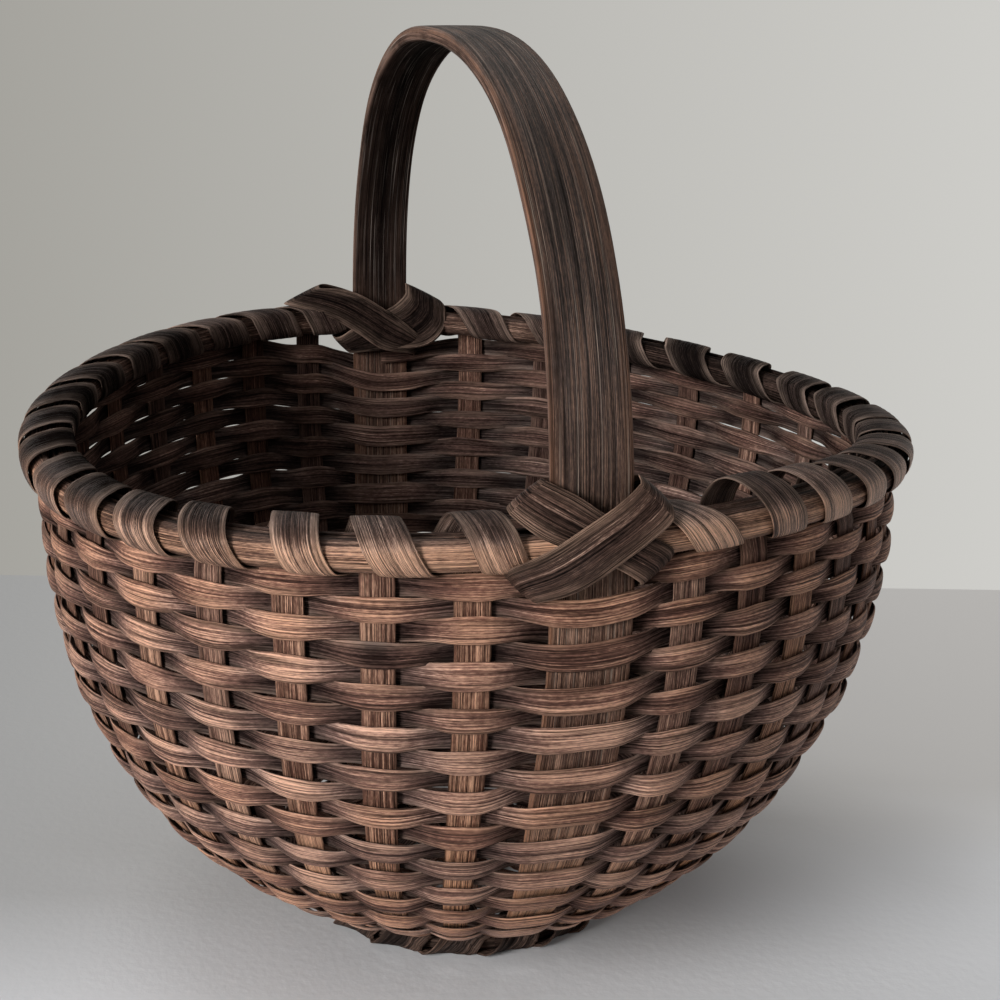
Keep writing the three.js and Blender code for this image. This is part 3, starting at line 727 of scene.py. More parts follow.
def weave_line(points, first, last):
    """The weaver's line from crossing to crossing: angle, distance up the wall, lift off it, and side."""
    parts = []
    share = np.arange(SPAN_STEPS) / SPAN_STEPS
    for here, there in zip(points[first:last], points[first + 1:last + 1]):
        radius = np.hypot(*wall(here["turn"], here["along"])[:2])
        span = (there["total"] - here["total"]) * radius
        flat = flat_share(here, span)
        t = np.clip((share - flat) / (1 - flat - flat_share(there, span)), 0, 1)
        wave = 0.5 - 0.5 * np.cos(math.pi * t)
        parts.append([lerp(here["total"], there["total"], share),
                      lerp(here["place"], there["place"], smooth(share)),
                      lerp(weaver_lift(here), weaver_lift(there), wave),
                      lerp(here["side"], there["side"], wave)])
    end = points[last]
    parts.append([[end["total"]], [end["place"]], [weaver_lift(end)], [end["side"]]])
    return [np.concatenate(column) for column in zip(*parts)]


LAST_ROUND_FADE = 0.07
CROWD_FROM = 110
CROWD_POWER = 1.2
ROOM_BELOW_RIM = 1.2
SAG_FROM, SAG_TO = 190, 250
# Where the weave sags at the handle's feet: the angle, and the depth and reach in mm.
SAGS = ((0, 3.2, 20), (TURNS[FAR_TAIL] - 0.06, 6.6, 32), (TAU, 3.2, 20))


def top_shortfall(turn):
    """How far the last round at an angle stays below the highest one, closed up again past the end."""
    past = turn / TAU % 1 - LAST_ROUND % 1
    if past > 0:
        return TOP_PITCH * (1 - past) * float(rise(past, 0, LAST_ROUND_FADE))
    return -TOP_PITCH * past


def packed_place(point):
    """Where the weaver really lies: beaten up under the rim, and sagging where it crosses a handle tail."""
    top = ROWS_TOP - WEAVER_WIDTH / 2
    over = float(row_along(LAST_ROUND)) - top - ROOM_BELOW_RIM
    packed = part_way(point["rounds"], PACKED_FROM, LAST_ROUND)
    place = point["along"] - over * packed ** CROWD_POWER
    place += top_shortfall(point["turn"]) * part_way(place, CROWD_FROM, top)
    for turn, depth, reach in SAGS:
        aside = (point["turn"] - turn) * MEAN_RADIUS / reach
        place -= depth * math.exp(-aside * aside) * part_way(place, SAG_FROM, SAG_TO)
    return place


WILD_FROM, WILD_TO = 60, 120
ROW_WANDER = 0.25
BULGE = 0.35
CREST_WIDTH = 1.04
NARROWER_BETWEEN = 0.17
WEAVER_TILT = 0.09
WEAVER_CUP = 0.45  # how far its edges bend towards the stake that it crosses, in mm
# The dark mark on one weaver in front.
SCORCH_PLACE = np.array([158.8, -58.2, 156.9])
SCORCH_SIZE = np.array([7, 7.5, 3])


def add_weaver(number, line, rng):
    total, along, lift, crest = line
    upward, _, out = frames(total, along)
    centre = wall(total, along) + lift[:, None] * out
    u = lengths(centre)

    def wandering(spacing, seed):
        return wander(u, spacing, seed + number)

    course = unit(np.gradient(centre, axis=0))
    tilt = WEAVER_TILT * wandering(30, 500)
    across = unit(upward + tilt[:, None] * out)
    outward = unit(np.cross(course, across))
    across = np.cross(outward, course)

    # widest where it crosses outside or inside, and narrower in the top rows at the right end
    width = weaver_width(np.minimum(along, ROWS_TOP - WEAVER_WIDTH / 2))
    factor = CREST_WIDTH - NARROWER_BETWEEN * (1 - crest ** 2) + 0.07 * wandering(90, 700)
    factor += 0.04 * wandering(22, 800)
    right_top = 0.05 * np.clip(np.sin(total), 0, 1) * rise(along, 150, 40)
    factor -= right_top * (1 + wandering(60, 600))
    left, right = uneven(width / 2 * factor, u, 0.05, 7, (900 + number, 1000 + number))
    rings = section_rings(SPLINT, centre, across, outward, left, right, WEAVER_THICKNESS, -WEAVER_CUP * crest)

    own_tone = 0.5 + 0.22 * rng.uniform(-1, 1)
    tone = own_tone + 0.2 * wandering(160, 1100) + 0.1 * wandering(24, 1200)
    # Exposure: paler on the outer crests and darker where it dips behind a stake, partly wear and dirt and
    # partly painted shade; the inner faces carry painted shade for the inside of the basket.
    look = section_look(SPLINT, tone, 0.36 + 0.42 * crest, 0.04 - 0.28 * crest, rng.uniform(0.3, 0.7))
    scorched = np.exp(-np.sum(((centre - SCORCH_PLACE) / SCORCH_SIZE) ** 2, -1))
    burnt = scorched[:, None] * (0.7 + 0.35 * SPLINT[None, :, 0])
    look[..., TONE] -= 0.5 * burnt
    look[..., EXPOSURE_TO_LIGHT_AND_WEAR] -= 0.8 * burnt
    v = section_v(SPLINT, WEAVER_WIDTH, WEAVER_THICKNESS) + 40 * number
    make_piece(f"weaver_{number:02d}", "weaver_wood", rings, u + 911 * number, v, look)


def add_weavers():
    points = spiral_points()
    rng = np.random.default_rng(41)
    for point in points:
        wild = part_way(point["along"], WILD_FROM, WILD_TO)
        point["place"] = packed_place(point) + rng.normal(0, ROW_WANDER) * wild
        point["bulge"] = 1 + wild * (BULGE + BULGE * abs(rng.normal(0, 0.6)))
    for number, (first, last) in enumerate(weaver_ends(points), 1):
        add_weaver(number, weave_line(points, first, last), rng)


# Stakes and spokes

STAKE_LEAN = RIM_SPACE / 2 - GAP - STAKE_THICKNESS / 2
PALER_BELOW = 125
PALEST_BELOW = 55


def rim_centre(turn):
    """The middle line between the two hoops, and its outward directions."""
    turn = np.asarray(turn, float)
    base = wall(turn, np.full(turn.shape, RIM_ALONG))
    around = wall(turn + TURN_REACH, RIM_ALONG) - wall(turn - TURN_REACH, RIM_ALONG)
    out = unit(np.cross(unit(around), UP))
    return base - STAKE_LEAN * out, out


def rim_top(i, lean, heights):
    """The part of a stake or tail that stands between the hoops, and its outward directions."""
    centre, out = rim_centre(np.array([TURNS[i]]))
    return centre + lean * out + heights[:, None] * UP, np.repeat(out, len(heights), 0)


def near_foot(points):
    """1 near the foot, where the wood is more worn and paler, and 0 from halfway up."""
    return smooth((PALER_BELOW - points[:, 2]) / (PALER_BELOW - PALEST_BELOW))


def arm_path(i, start):
    """A stake's line up the wall and between the hoops, with its outward directions and widths."""
    along = np.arange(start, ROWS_TOP, STAKE_STEP)
    turn = stake_turn(i, along)
    _, _, out = frames(turn, along)
    top, top_out = rim_top(i, STAKE_LEAN, np.array([-HOOP_HEIGHT / 2, 0, HOOP_HEIGHT / 2 - GAP]))
    width = np.append(stake_width(along), np.full(len(top), STAKE_WIDTH))
    return np.concatenate([wall(turn, along), top]), np.concatenate([out, top_out]), width


def add_stake(name, points, out, width, seed):
    across, outward = path_frames(points, out)
    u = lengths(points)
    left, right = uneven(width / 2, u, 0.03, 14, (seed, seed + 1))
    rings = section_rings(SPLINT, points, across, outward, left, right, STAKE_THICKNESS)
    rng = np.random.default_rng(seed)
    low = near_foot(points)
    tone = 0.5 + 0.25 * rng.uniform(-1, 1) + 0.15 * wander(u, 60, seed + 2) + 0.14 * low
    # The inner face's low exposure is dirt and painted shade inside the basket.
    look = section_look(SPLINT, tone, 0.62 + 0.25 * low, 0.37, rng.uniform(0.3, 0.8))
    v = section_v(SPLINT, float(np.max(width)), STAKE_THICKNESS) + 13 * seed
    make_piece(name, "stake_wood", rings, u + 137 * seed, v, look)


def add_spokes():
    share = np.arange(1, HUB_STEPS) / HUB_STEPS
    hub_out = np.repeat(-UP[None], len(share), 0)
    hub_width = np.full(len(share), HUB_WIDTH)
    for number, (right, left) in enumerate(SPOKES, 1):
        layer = HUB_ORDER[number - 1] - (len(HUB_ORDER) - 1) / 2
        lift = (layer + HUB_RAISE) * HUB_LAYER
        arm, other_arm = arm_path(right, HUB_EDGE), arm_path(left, HUB_EDGE)
        start, end = arm[0][0], other_arm[0][0]
        hub = start + (end - start) * share[:, None]
        hub[:, 2] += lift * smooth((1 - np.abs(2 * share - 1)) * 1.5)
        parts = zip(arm, (hub, hub_out, hub_width), other_arm)
        spoke = [np.concatenate([first[::-1], middle, last]) for first, middle, last in parts]
        add_stake(f"spoke_{number}", *spoke, 2000 + number)


def add_added_stakes():
    added = [i for i in range(STAKE_COUNT) if i not in TAILS and i not in SPOKE_ENDS]
    for number, i in enumerate(added, 1):
        start = BASE_START - WEAVER_WIDTH / 2 if i == SPLIT_STAKE else added_stake_start(TURNS[i])
        add_stake(f"added_stake_{number:02d}", *arm_path(i, start), 2100 + number)


# Handle

# The bar's section, with its edges rounded by hands.
BAR = np.array([
    [-1.0, 0.0], [-0.99, 0.45], [-0.955, 0.80], [-0.88, 0.96], [-0.6, 1.0], [0, 1.02], [0.6, 1.0],
    [0.88, 0.96], [0.955, 0.80], [0.99, 0.45], [1.0, 0.0], [0.995, -0.55], [0.965, -0.88], [0.88, -0.99],
    [0, -1.0], [-0.88, -0.99], [-0.965, -0.88], [-0.995, -0.55],
])


def handle_tail(i):
    """A tail from its tip to the rim's top: points, outward directions, widths and thicknesses."""
    along = np.arange(added_stake_start(TURNS[i]), ROWS_TOP, STAKE_STEP)
    turn = np.full(along.shape, TURNS[i])
    _, _, out = frames(turn, along)
    thickness = tail_thickness(along)
    points = wall(turn, along) + ((STAKE_THICKNESS - thickness) / 2)[:, None] * out
    top, top_out = rim_top(i, 0, np.array([-HOOP_HEIGHT / 2, 0, HOOP_HEIGHT / 2]))
    width = np.append(tail_width(along), np.full(len(top), TAIL_WIDTH))
    thickness = np.append(thickness, np.full(len(top), TAIL_THICKNESS))
    return np.concatenate([points, top]), np.concatenate([out, top_out]), width, thickness


def handle_arch(near_top, far_top):
    """The arch from one tail's top to the other's: points, widths and thicknesses."""
    t = np.arange(1, ARCH_STEPS) / ARCH_STEPS
    angle = math.pi * t
    reach = softened(np.cos(angle), HANDLE_FULLNESS)
    foot = lerp(near_top[2], far_top[2], (1 - reach) / 2)
    arch = (near_top + far_top) / 2 + (near_top - far_top)[None, :] * 0.5 * reach[:, None]
    crown = HANDLE_TOP - HANDLE_THICKNESS / 2
    arch[:, 2] = foot + (crown - foot) * np.sin(angle) ** HANDLE_FULLNESS
    from_foot = np.minimum(1, np.minimum(t, 1 - t) * 6)
    return arch, lerp(TAIL_WIDTH, HANDLE_WIDTH, from_foot), lerp(TAIL_THICKNESS, HANDLE_THICKNESS, from_foot)


def arch_outward(near, arch, far):
    """Outward directions over the arch: at a right angle to its course, and away from the basket's middle."""
    inside = slice(len(near), len(near) + len(arch))
    course = unit(np.gradient(np.concatenate([near, arch, far[::-1]]), axis=0))
    side = unit(np.array([0, 1.0, 0]) - course * course[:, 1:2])
    outward = np.cross(course, side)[inside]
    radial = arch - np.array([0, 0, RIM_HEIGHT])
    return outward * np.sign(np.sum(outward * radial, -1, keepdims=True))


def add_handle():
    near, far = handle_tail(0), handle_tail(FAR_TAIL)
    arch, arch_width, arch_thickness = handle_arch(near[0][-1], far[0][-1])
    arch_parts = (arch, arch_outward(near[0], arch, far[0]), arch_width, arch_thickness)
    points, rough_out, width, thickness = (
        np.concatenate([first, middle, last[::-1]]) for first, middle, last in zip(near, arch_parts, far))
    across, out = path_frames(points, rough_out)
    u = lengths(points)
    left, right = (width / 2 + HANDLE_WAVER * wander(u, 45, seed) for seed in (31, 32))
    rings = section_rings(BAR, points, across, out, left, right, thickness)

    low = near_foot(points)
    above_rim = points[:, 2] - RIM_HEIGHT
    tone = 0.5 + 0.12 * wander(u, 70, 33) + 0.34 * low
    # The inner face is darker above the rim: dirt and painted shade.
    look = section_look(BAR, tone, 0.65 + 0.35 * low, 0.65 - 0.62 * rise(above_rim, 0, 20))
    look[..., EDGE] = np.abs(BAR[None, :, 0]) ** 12
    # here the hue is the share of the tails' brown, which fades out above the rim
    look[..., HUE] = (1 - 0.6 * rise(above_rim, -14, 26) - 0.4 * rise(above_rim, 0, 80))[:, None]
    make_piece("handle", "handle_wood", rings, u, section_v(BAR, HANDLE_WIDTH, HANDLE_THICKNESS), look)


# Rim

# The lengths of filler and lashing, one on each side of the handle: number, and first and last gap.
RIM_RUNS = ((1, 0, FAR_TAIL - 1), (2, FAR_TAIL, STAKE_COUNT - 1))
FAR_SIDE = 0.8  # how soon the far side starts, as 1 - cos of the angle


def rim_rings(turn, corners):
    """Rings round the rim from a section's corners: outward and up from the middle between the hoops."""
    centre, out = rim_centre(turn)
    return centre[:, None] + corners[:, 0:1] * out[:, None] + corners[:, 1:2] * UP


def hoop_section(side):
    """A half-round section with its flat face towards the stakes."""
    inner = RIM_SPACE / 2
    angle = np.radians(np.linspace(-90, 90, 13))
    bulge = HOOP_THICKNESS * np.cos(angle) ** 0.75 * 0.985
    rounded = np.stack([inner + bulge, HOOP_HEIGHT / 2 * np.sin(angle)], -1)
    flat = np.array([[inner, HOOP_HEIGHT / 4], [inner, 0], [inner, -HOOP_HEIGHT / 4]])
    corners = np.concatenate([rounded, flat])
    corners[:, 0] *= side
    return corners if side > 0 else corners[::-1]


def add_hoops():
    turn = full_circle(HOOP_STEPS)
    shaded_right_end = rise(np.sin(turn), 0.45, 0.4)[:, None]
    for name, side, seed, outer_exposure in (("outer_hoop", 1, 61, 0.9), ("inner_hoop", -1, 62, 0.45)):
        corners = hoop_section(side)
        look = np.empty((len(turn), len(corners), 4))
        # Painted shade: the right end is darker, and so are the inner hoop's face inside the basket and the
        # flat faces towards the stakes.
        look[..., TONE] = (0.5 + 0.15 * wander(turn * MEAN_RADIUS, 50, seed))[:, None] - 0.32 * shaded_right_end
        look[..., EDGE] = 0
        from_stakes = (corners[:, 0] * side - RIM_SPACE / 2) / HOOP_THICKNESS
        look[..., EXPOSURE_TO_LIGHT_AND_WEAR] = lerp(0.25, outer_exposure, smooth(from_stakes)) * (1 - 0.65 * shaded_right_end)
        look[..., HUE] = 0.5
        v = loop_lengths(corners) + 400 * seed
        make_piece(name, "hoop_wood", rim_rings(turn, corners), turn * MEAN_RADIUS, v, look, closed=True)


def add_fillers():
    outer = RIM_SPACE / 2 - GAP - STAKE_THICKNESS - GAP
    inner = GAP - RIM_SPACE / 2
    middle = (inner + outer) / 2
    top = HOOP_HEIGHT / 2 - GAP
    low = top - FILLER_HEIGHT
    corners = np.array([[inner, low], [middle, low - 0.2], [outer, low], [outer, top - 0.5],
                        [middle, top + 0.15], [inner, top - 0.5]])
    for number, first, last in RIM_RUNS:
        turn = rim_turn(np.linspace(first, last, FILLER_STEPS))
        look = np.full((len(turn), len(corners), 4), 0.4)
        v = loop_lengths(corners) + 9 * (70 + number)
        make_piece(f"rim_filler_{number}", "hoop_wood", rim_rings(turn, corners), turn * MEAN_RADIUS, v, look)


def wrap_path(slack, loose):
    """Evenly spaced points of one loop round both hoops: from below, up the inside, over and down outside.

    slack is how far it stands up over the hoops, and loose how far it stands off the outer one.
    """
    wide = RIM_SPACE / 2 + HOOP_THICKNESS
    high = HOOP_HEIGHT / 2
    places = np.array([
        [0, -high - 0.7], [-4.4, -high - 0.5], [-wide + 0.9, -high + 0.9], [-wide - 0.5, -0.4],
        [-wide - 0.6, high + 0.25 * slack], [-wide + 1.6, high + 0.3 + 0.8 * slack],
        [-wide + 5, high + 0.5 + slack], [1, high + 0.5 + 0.88 * slack],
        [wide - 2.9 + 0.5 * loose, high + 0.4 + 0.5 * slack],
        [wide - 0.2 + loose, 0.75 * high + 0.12 * slack], [wide + 0.35 + loose, 0.2],
        [wide - 1 + 0.8 * loose, -high + 0.9 - 0.3 * loose], [4.4, -high - 0.5 - 0.2 * loose],
    ])
    loop = through(places[:, None], 30)[:, 0]
    loop = np.concatenate([loop, loop[:1]])
    run = lengths(loop)
    even = np.linspace(0, run[-1], LOOP_STEPS + 1)
    return np.stack([np.interp(even, run, loop[:, 0]), np.interp(even, run, loop[:, 1])], -1)


def loop_normals(loops):
    step = np.roll(loops[:, :-1], -1, 1) - np.roll(loops[:, :-1], 1, 1)
    normals = unit(np.stack([-step[..., 1], step[..., 0]], -1))
    return np.concatenate([normals, normals[:, :1]], 1)


def wrap_loops(number, wrap_turn, rng):
    """The loop that each wrap follows, closer at the far side, and how far its top is pushed aside."""
    wraps = len(wrap_turn)
    near_side = 1 - smooth((1 - np.cos(wrap_turn)) / FAR_SIDE)
    slack = (4 + 1.4 * rng.uniform(0, 1, wraps)) * lerp(0.42, 1, near_side)
    aside = 0.06 * rng.uniform(-1, 1, wraps)
    if number == 1:
        # the first wraps stand beside the handle's near lashing
        slack[:3] = (2.5, 7, 6)
        aside[0] = -0.22
    loose = 0.3 + 0.5 * rng.uniform(0, 1, wraps) + 0.5 * np.abs(np.sin(wrap_turn)) ** 3
    return np.array([wrap_path(*each) for each in zip(slack, loose)]), aside


def lie_on(loops, wrap, step, raised):
    """Points a number of steps round the loops of their wraps, and the same raised off them."""
    whole = np.minimum(step.astype(int), LOOP_STEPS - 1)
    rest = (step - whole)[..., None]
    normals = loop_normals(loops)
    place = lerp(loops[wrap, whole], loops[wrap, whole + 1], rest)
    normal = unit(lerp(normals[wrap, whole], normals[wrap, whole + 1], rest))
    return place, place + raised[..., None] * normal


def add_rim_lashing(number, first, last, rng):
    """Splint wound round the hoops, laid out flat round them, so that it follows them at every slant."""
    seed = 80 + number
    wraps = last - first
    total = np.linspace(0.1, wraps - 0.02, wraps * WRAP_STEPS)
    wrap = np.clip(np.floor(total).astype(int), 0, wraps - 1)
    share = total - wrap
    above = np.sin(math.pi * share) ** 2
    loops, aside = wrap_loops(number, rim_turn(first + np.arange(wraps) + 0.5), rng)
    around = np.linalg.norm(np.diff(loops, axis=1), axis=2).sum(1)[wrap]
    turn = rim_turn(first + total + aside[wrap] * above)
    odd = 1 + WRAP_WIDTH_SPREAD * rng.uniform(-1, 1, wraps)[wrap] * above
    width = lerp(NEAR_WRAP_WIDTH, FAR_WRAP_WIDTH, smooth((1 - np.cos(turn)) / FAR_SIDE)) * odd
    onward = np.gradient(turn) * MEAN_RADIUS
    u = np.cumsum(np.hypot(onward, around / WRAP_STEPS))
    slant = np.arctan2(onward, around / WRAP_STEPS)[:, None]

    left, right = uneven(width / 2, u, 0.04, 11, (seed, seed + 1))
    a = SPLINT[None, :, 0]
    sideways = np.where(a < 0, left[:, None], right[:, None]) * a
    raised = STRIP_THICKNESS / 2 * SPLINT[None, :, 1] - 0.15 * a * a
    step = (share[:, None] + sideways * np.sin(slant) / around[:, None]) % 1 * LOOP_STEPS
    place, put = lie_on(loops, wrap[:, None], step, np.broadcast_to(raised, step.shape))
    spread = turn[:, None] - sideways * np.cos(slant) / MEAN_RADIUS
    centre, out = rim_centre(spread)
    rings = centre + put[..., 0:1] * out + put[..., 1:2] * UP

    own_tone = 0.15 * rng.uniform(-1, 1, wraps)[wrap]
    shaded_left_end = rise(-np.sin(turn), 0.6, 0.35)
    shaded_right_end = rise(np.sin(turn), 0.5, 0.4)
    tone = 0.5 + 0.2 * wander(u, 30, seed + 2) + own_tone
    # painted shade: darker at the left and right ends, and darker on the far side
    tone -= 0.34 * shaded_left_end + 0.14 * smooth(-2 * np.cos(turn)) + 0.22 * shaded_right_end
    look = section_look(SPLINT, tone, 0, 0.35, rng.uniform(0.3, 0.7))
    # dark on top and inside, partly handling patina and partly painted shade, as the light comes in low;
    # paler down the outside
    exposed = lerp(0.22, 0.98 - 0.64 * rise(place[..., 1], 2, 6), rise(place[..., 0], -2, 6))
    # more painted shade at both ends
    exposed -= (0.16 * shaded_left_end + 0.1 * shaded_right_end)[:, None]
    look[..., EXPOSURE_TO_LIGHT_AND_WEAR] = np.where(SPLINT[None, :, 1] > 0, exposed, 0.35)
    v = section_v(SPLINT, float(np.max(width)), STRIP_THICKNESS) + 17 * seed
    make_piece(f"rim_lashing_{number}", "lashing_wood", rings, u + 71 * seed, v, look)


def add_rim_lashings():
    rng = np.random.default_rng(88)
    for number, first, last in RIM_RUNS:
        add_rim_lashing(number, first, last, rng)


# The two bands that cross at each handle foot, as pairs of edge points: (along the rim, outward, up) in mm
# from the middle of the tail between the hoops. Each goes round both hoops and back behind the handle.
NEAR_UNDER = [
    [(-14.2, 2.6, 19.6), (-25.0, 3.2, 11.0)], [(-5.0, 4.6, 15.1), (-16.0, 8.4, 5.0)],
    [(3.0, 7.8, 9.8), (-6.0, 9.5, 0.5)], [(12.4, 9.2, 4.7), (4.0, 9.0, -4.8)],
    [(22.6, 8.6, -1.4), (13.1, 7.4, -10.9)], [(25.0, 3.0, -6.5), (15.5, 1.2, -14.0)],
    [(22.5, -6.6, -6.2), (14.0, -5.6, -14.0)], [(10.0, -9.4, 3.0), (2.0, -9.5, -8.0)],
    [(-1.0, -9.6, 9.5), (-9.0, -9.5, -1.5)], [(-10.5, -6.4, 15.5), (-19.0, -8.8, 5.5)],
    [(-14.6, -1.4, 19.2), (-25.0, -3.0, 11.4)],
]
NEAR_OVER = [
    [(13.6, 4.0, 16.2), (22.7, 8.8, 6.7)], [(5.0, 8.8, 12.4), (15.0, 10.2, 1.6)],
    [(-3.0, 10.6, 8.6), (6.7, 10.4, -3.5)], [(-11.5, 10.8, 3.7), (-1.5, 9.4, -9.2)],
    [(-18.0, 10.3, 0.4), (-8.0, 8.0, -12.4)], [(-25.0, 8.8, -2.9), (-15.3, 6.7, -13.9)],
    [(-26.6, 2.2, -6.6), (-17.2, 0.8, -16.0)], [(-24.0, -7.0, -6.2), (-15.0, -5.8, -15.2)],
    [(-12.0, -10.4, 2.8), (-3.5, -10.2, -10.0)], [(0.0, -10.7, 9.2), (9.0, -10.4, -3.8)],
    [(10.0, -7.0, 15.2), (19.5, -9.8, 4.6)], [(14.6, -1.2, 18.0), (24.2, -3.4, 9.4)],
    [(14.8, 1.6, 18.0), (24.6, 3.2, 9.6)],
]
FAR_UNDER = [
    [(22.5, -6.6, -6.2), (14.0, -5.6, -14.0)], [(9.0, -9.0, 2.0), (-2.0, -8.8, -12.0)],
    [(-4.0, -9.2, 7.5), (-22.0, -8.6, -9.7)], [(-11.0, -7.6, 12.5), (-31.5, -8.4, -3.0)],
    [(-11.9, -5.0, 15.0), (-32.8, -6.6, 5.0)], [(-12.0, -1.0, 17.0), (-31.0, -1.0, 8.8)],
    [(-9.0, 4.5, 15.5), (-27.0, 6.4, 8.0)], [(-3.0, 8.6, 10.0), (-15.0, 9.4, 1.0)],
    [(6.0, 9.4, 4.8), (-3.0, 9.4, -5.0)], [(15.0, 8.8, -1.0), (7.0, 8.0, -10.0)],
    [(23.0, 3.0, -6.0), (15.0, 1.5, -14.0)],
]
FAR_OVER = [
    [(30.2, -3.6, 15.3), (48.3, -2.0, 8.9)], [(23.5, -7.2, 15.2), (38.0, -7.6, 6.0)],
    [(15.0, -9.0, 13.6), (25.5, -9.8, 1.5)], [(4.5, -10.2, 9.3), (13.0, -10.2, -5.0)],
    [(-7.5, -10.4, 3.0), (0.5, -9.4, -11.6)], [(-17.8, -9.8, -3.9), (-14.2, -6.6, -13.8)],
    [(-21.5, -3.0, -7.0), (-16.0, 0.0, -15.8)], [(-19.0, 6.6, -5.0), (-10.0, 7.0, -14.0)],
    [(-8.0, 10.4, 3.0), (0.5, 10.2, -9.0)], [(8.0, 10.6, 9.5), (18.0, 10.4, -2.5)],
    [(20.0, 8.5, 14.0), (33.0, 9.4, 2.5)], [(27.5, 3.0, 16.0), (43.5, 4.6, 8.2)],
]


def through(stations, steps):
    """A smooth closed line through points."""
    p0, p1, p2, p3 = (np.roll(stations, shift, 0)[:, None] for shift in (1, 0, -1, -2))
    t = (np.arange(steps) / steps)[None, :, None, None]
    line = 0.5 * (2 * p1 + (p2 - p0) * t + (2 * p0 - 5 * p1 + 4 * p2 - p3) * t ** 2
                  + (3 * p1 - p0 - 3 * p2 + p3) * t ** 3)
    return line.reshape(-1, *stations.shape[1:])


def add_handle_lashing(name, at, stations, tone, exposure, seed):
    edges = through(np.array(stations), 8)
    centre, out = rim_centre(TURNS[at] + edges[..., 0] / MEAN_RADIUS)
    edges = centre + edges[..., 1:2] * out + edges[..., 2:3] * UP
    points = edges.mean(1)
    across = edges[:, 1] - edges[:, 0]
    half = np.linalg.norm(across, axis=1) / 2
    across = unit(across)
    course = unit(np.roll(points, -1, 0) - np.roll(points, 1, 0))
    outward = unit(np.cross(across, course))
    if np.sum(outward * (points - points.mean(0))) < 0:
        across, outward = -across, -outward
    u = lengths(points)
    left, right = uneven(half, u, 0.03, 12, (seed, seed + 1))
    rings = section_rings(SPLINT, points, across, outward, left, right, STRIP_THICKNESS, -0.35)
    look = section_look(SPLINT, tone + 0.16 * wander(u, 34, seed + 2), exposure, exposure - 0.15, 0.6)
    v = section_v(SPLINT, 2 * float(half.mean()), STRIP_THICKNESS) + 17 * seed
    make_piece(name, "lashing_wood", rings, u + 71 * seed, v, look, closed=True)


def add_handle_lashings():
    feet = (("near", 0, (NEAR_UNDER, NEAR_OVER), 0.46, 0.33),
            ("far", FAR_TAIL, (FAR_UNDER, FAR_OVER), 0.32, 0.12))
    for foot, at, bands, tone, exposure in feet:
        for layer, stations in enumerate(bands):
            name = f"handle_lashing_{foot}_{layer + 1}"
            add_handle_lashing(name, at, stations, tone, exposure, 3000 + at * 7 + layer)


# Foot

# The foot ring stands where its solid does.
FOOT_LOW, FOOT_HIGH = (corner[2] * 1000 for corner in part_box("foot_ring"))
FOOT_MIDDLE = (FOOT_HIGH + FOOT_LOW) / 2
FOOT_HALF_HEIGHT = (FOOT_HIGH - FOOT_LOW) / 2
FOOT_HALF_WIDTH = FOOT_RING_THICKNESS / 2
FOOT_SQUARENESS = 0.6
FOOT_WRAP_WIDTH = FOOT_LASHING_WIDTH + 5
FOOT_WRAP_SLANT = 0.27
FOOT_WRAP_GAP = 0.2
FOOT_WRAP_SLACK = 0.9
FOOT_WRAP_RAISE = 0.35
FOOT_WRAP_ENDS = np.array([3.6, 2.8, 1.9, 1.0])  # how far its ends' points go up into the weave
FLOOR_GAP = 0.05
FLOOR_SOFTNESS = 0.6


def foot_line(turn, outward, height):
    """Points beside the foot ring's middle line, and their outward directions."""
    along = np.full(np.shape(turn), FOOT_ALONG)
    _, around, _ = frames(turn, along)
    around[:, 2] = 0
    out = np.cross(unit(around), UP)
    points = wall(turn, along)
    points[:, 2] = 0
    return points + np.reshape(outward, (-1, 1)) * out + np.reshape(height, (-1, 1)) * UP, out


def add_foot_ring():
    turn = full_circle(FOOT_RING_STEPS)
    angle = full_circle(16)
    section = np.stack([FOOT_HALF_WIDTH * softened(np.cos(angle), FOOT_SQUARENESS),
                        FOOT_MIDDLE + FOOT_HALF_HEIGHT * softened(np.sin(angle), FOOT_SQUARENESS)], -1)
    lines = [foot_line(turn, np.full(turn.shape, out), np.full(turn.shape, up))[0] for out, up in section]
    look = np.full((len(turn), len(section), 4), 0.5)
    u = turn * FOOT_RADIUS
    make_piece("foot_ring", "foot_wood", np.stack(lines, 1), u, loop_lengths(section), look, closed=True)


def foot_wrap(middle):
    """One wrap under the ring: points, and rough outward directions. Its ends go up between the weavers."""
    angle = np.linspace(-0.1, 1.1, FOOT_WRAP_STEPS) * math.pi
    slack = FOOT_WRAP_SLACK * np.sin(np.linspace(0, math.pi, FOOT_WRAP_STEPS))
    clear = FOOT_LASHING_THICKNESS / 2 + FOOT_WRAP_GAP + slack
    c, s = np.cos(angle), -np.sin(angle)
    height = FOOT_MIDDLE + (FOOT_HALF_HEIGHT + clear) * softened(s, FOOT_SQUARENESS) + FOOT_WRAP_RAISE
    outward = (FOOT_HALF_WIDTH + clear) * softened(c, FOOT_SQUARENESS)
    up = FOOT_WRAP_ENDS
    outward = np.concatenate([outward[0] + 0.9 * up, outward, outward[-1] - 0.5 * up[::-1]])
    height = np.concatenate([height[0] + up, height, height[-1] + up[::-1]])
    ends = np.ones(len(up))
    sideways = np.concatenate([ends, c, -ends])
    away = unit(np.stack([sideways, np.concatenate([-0.5 * ends, s, -0.5 * ends])], -1))
    turn = middle + np.linspace(FOOT_WRAP_SLANT, -FOOT_WRAP_SLANT, len(height))
    points, out = foot_line(turn, outward, height)
    return points, away[:, 0:1] * out + away[:, 1:2] * UP


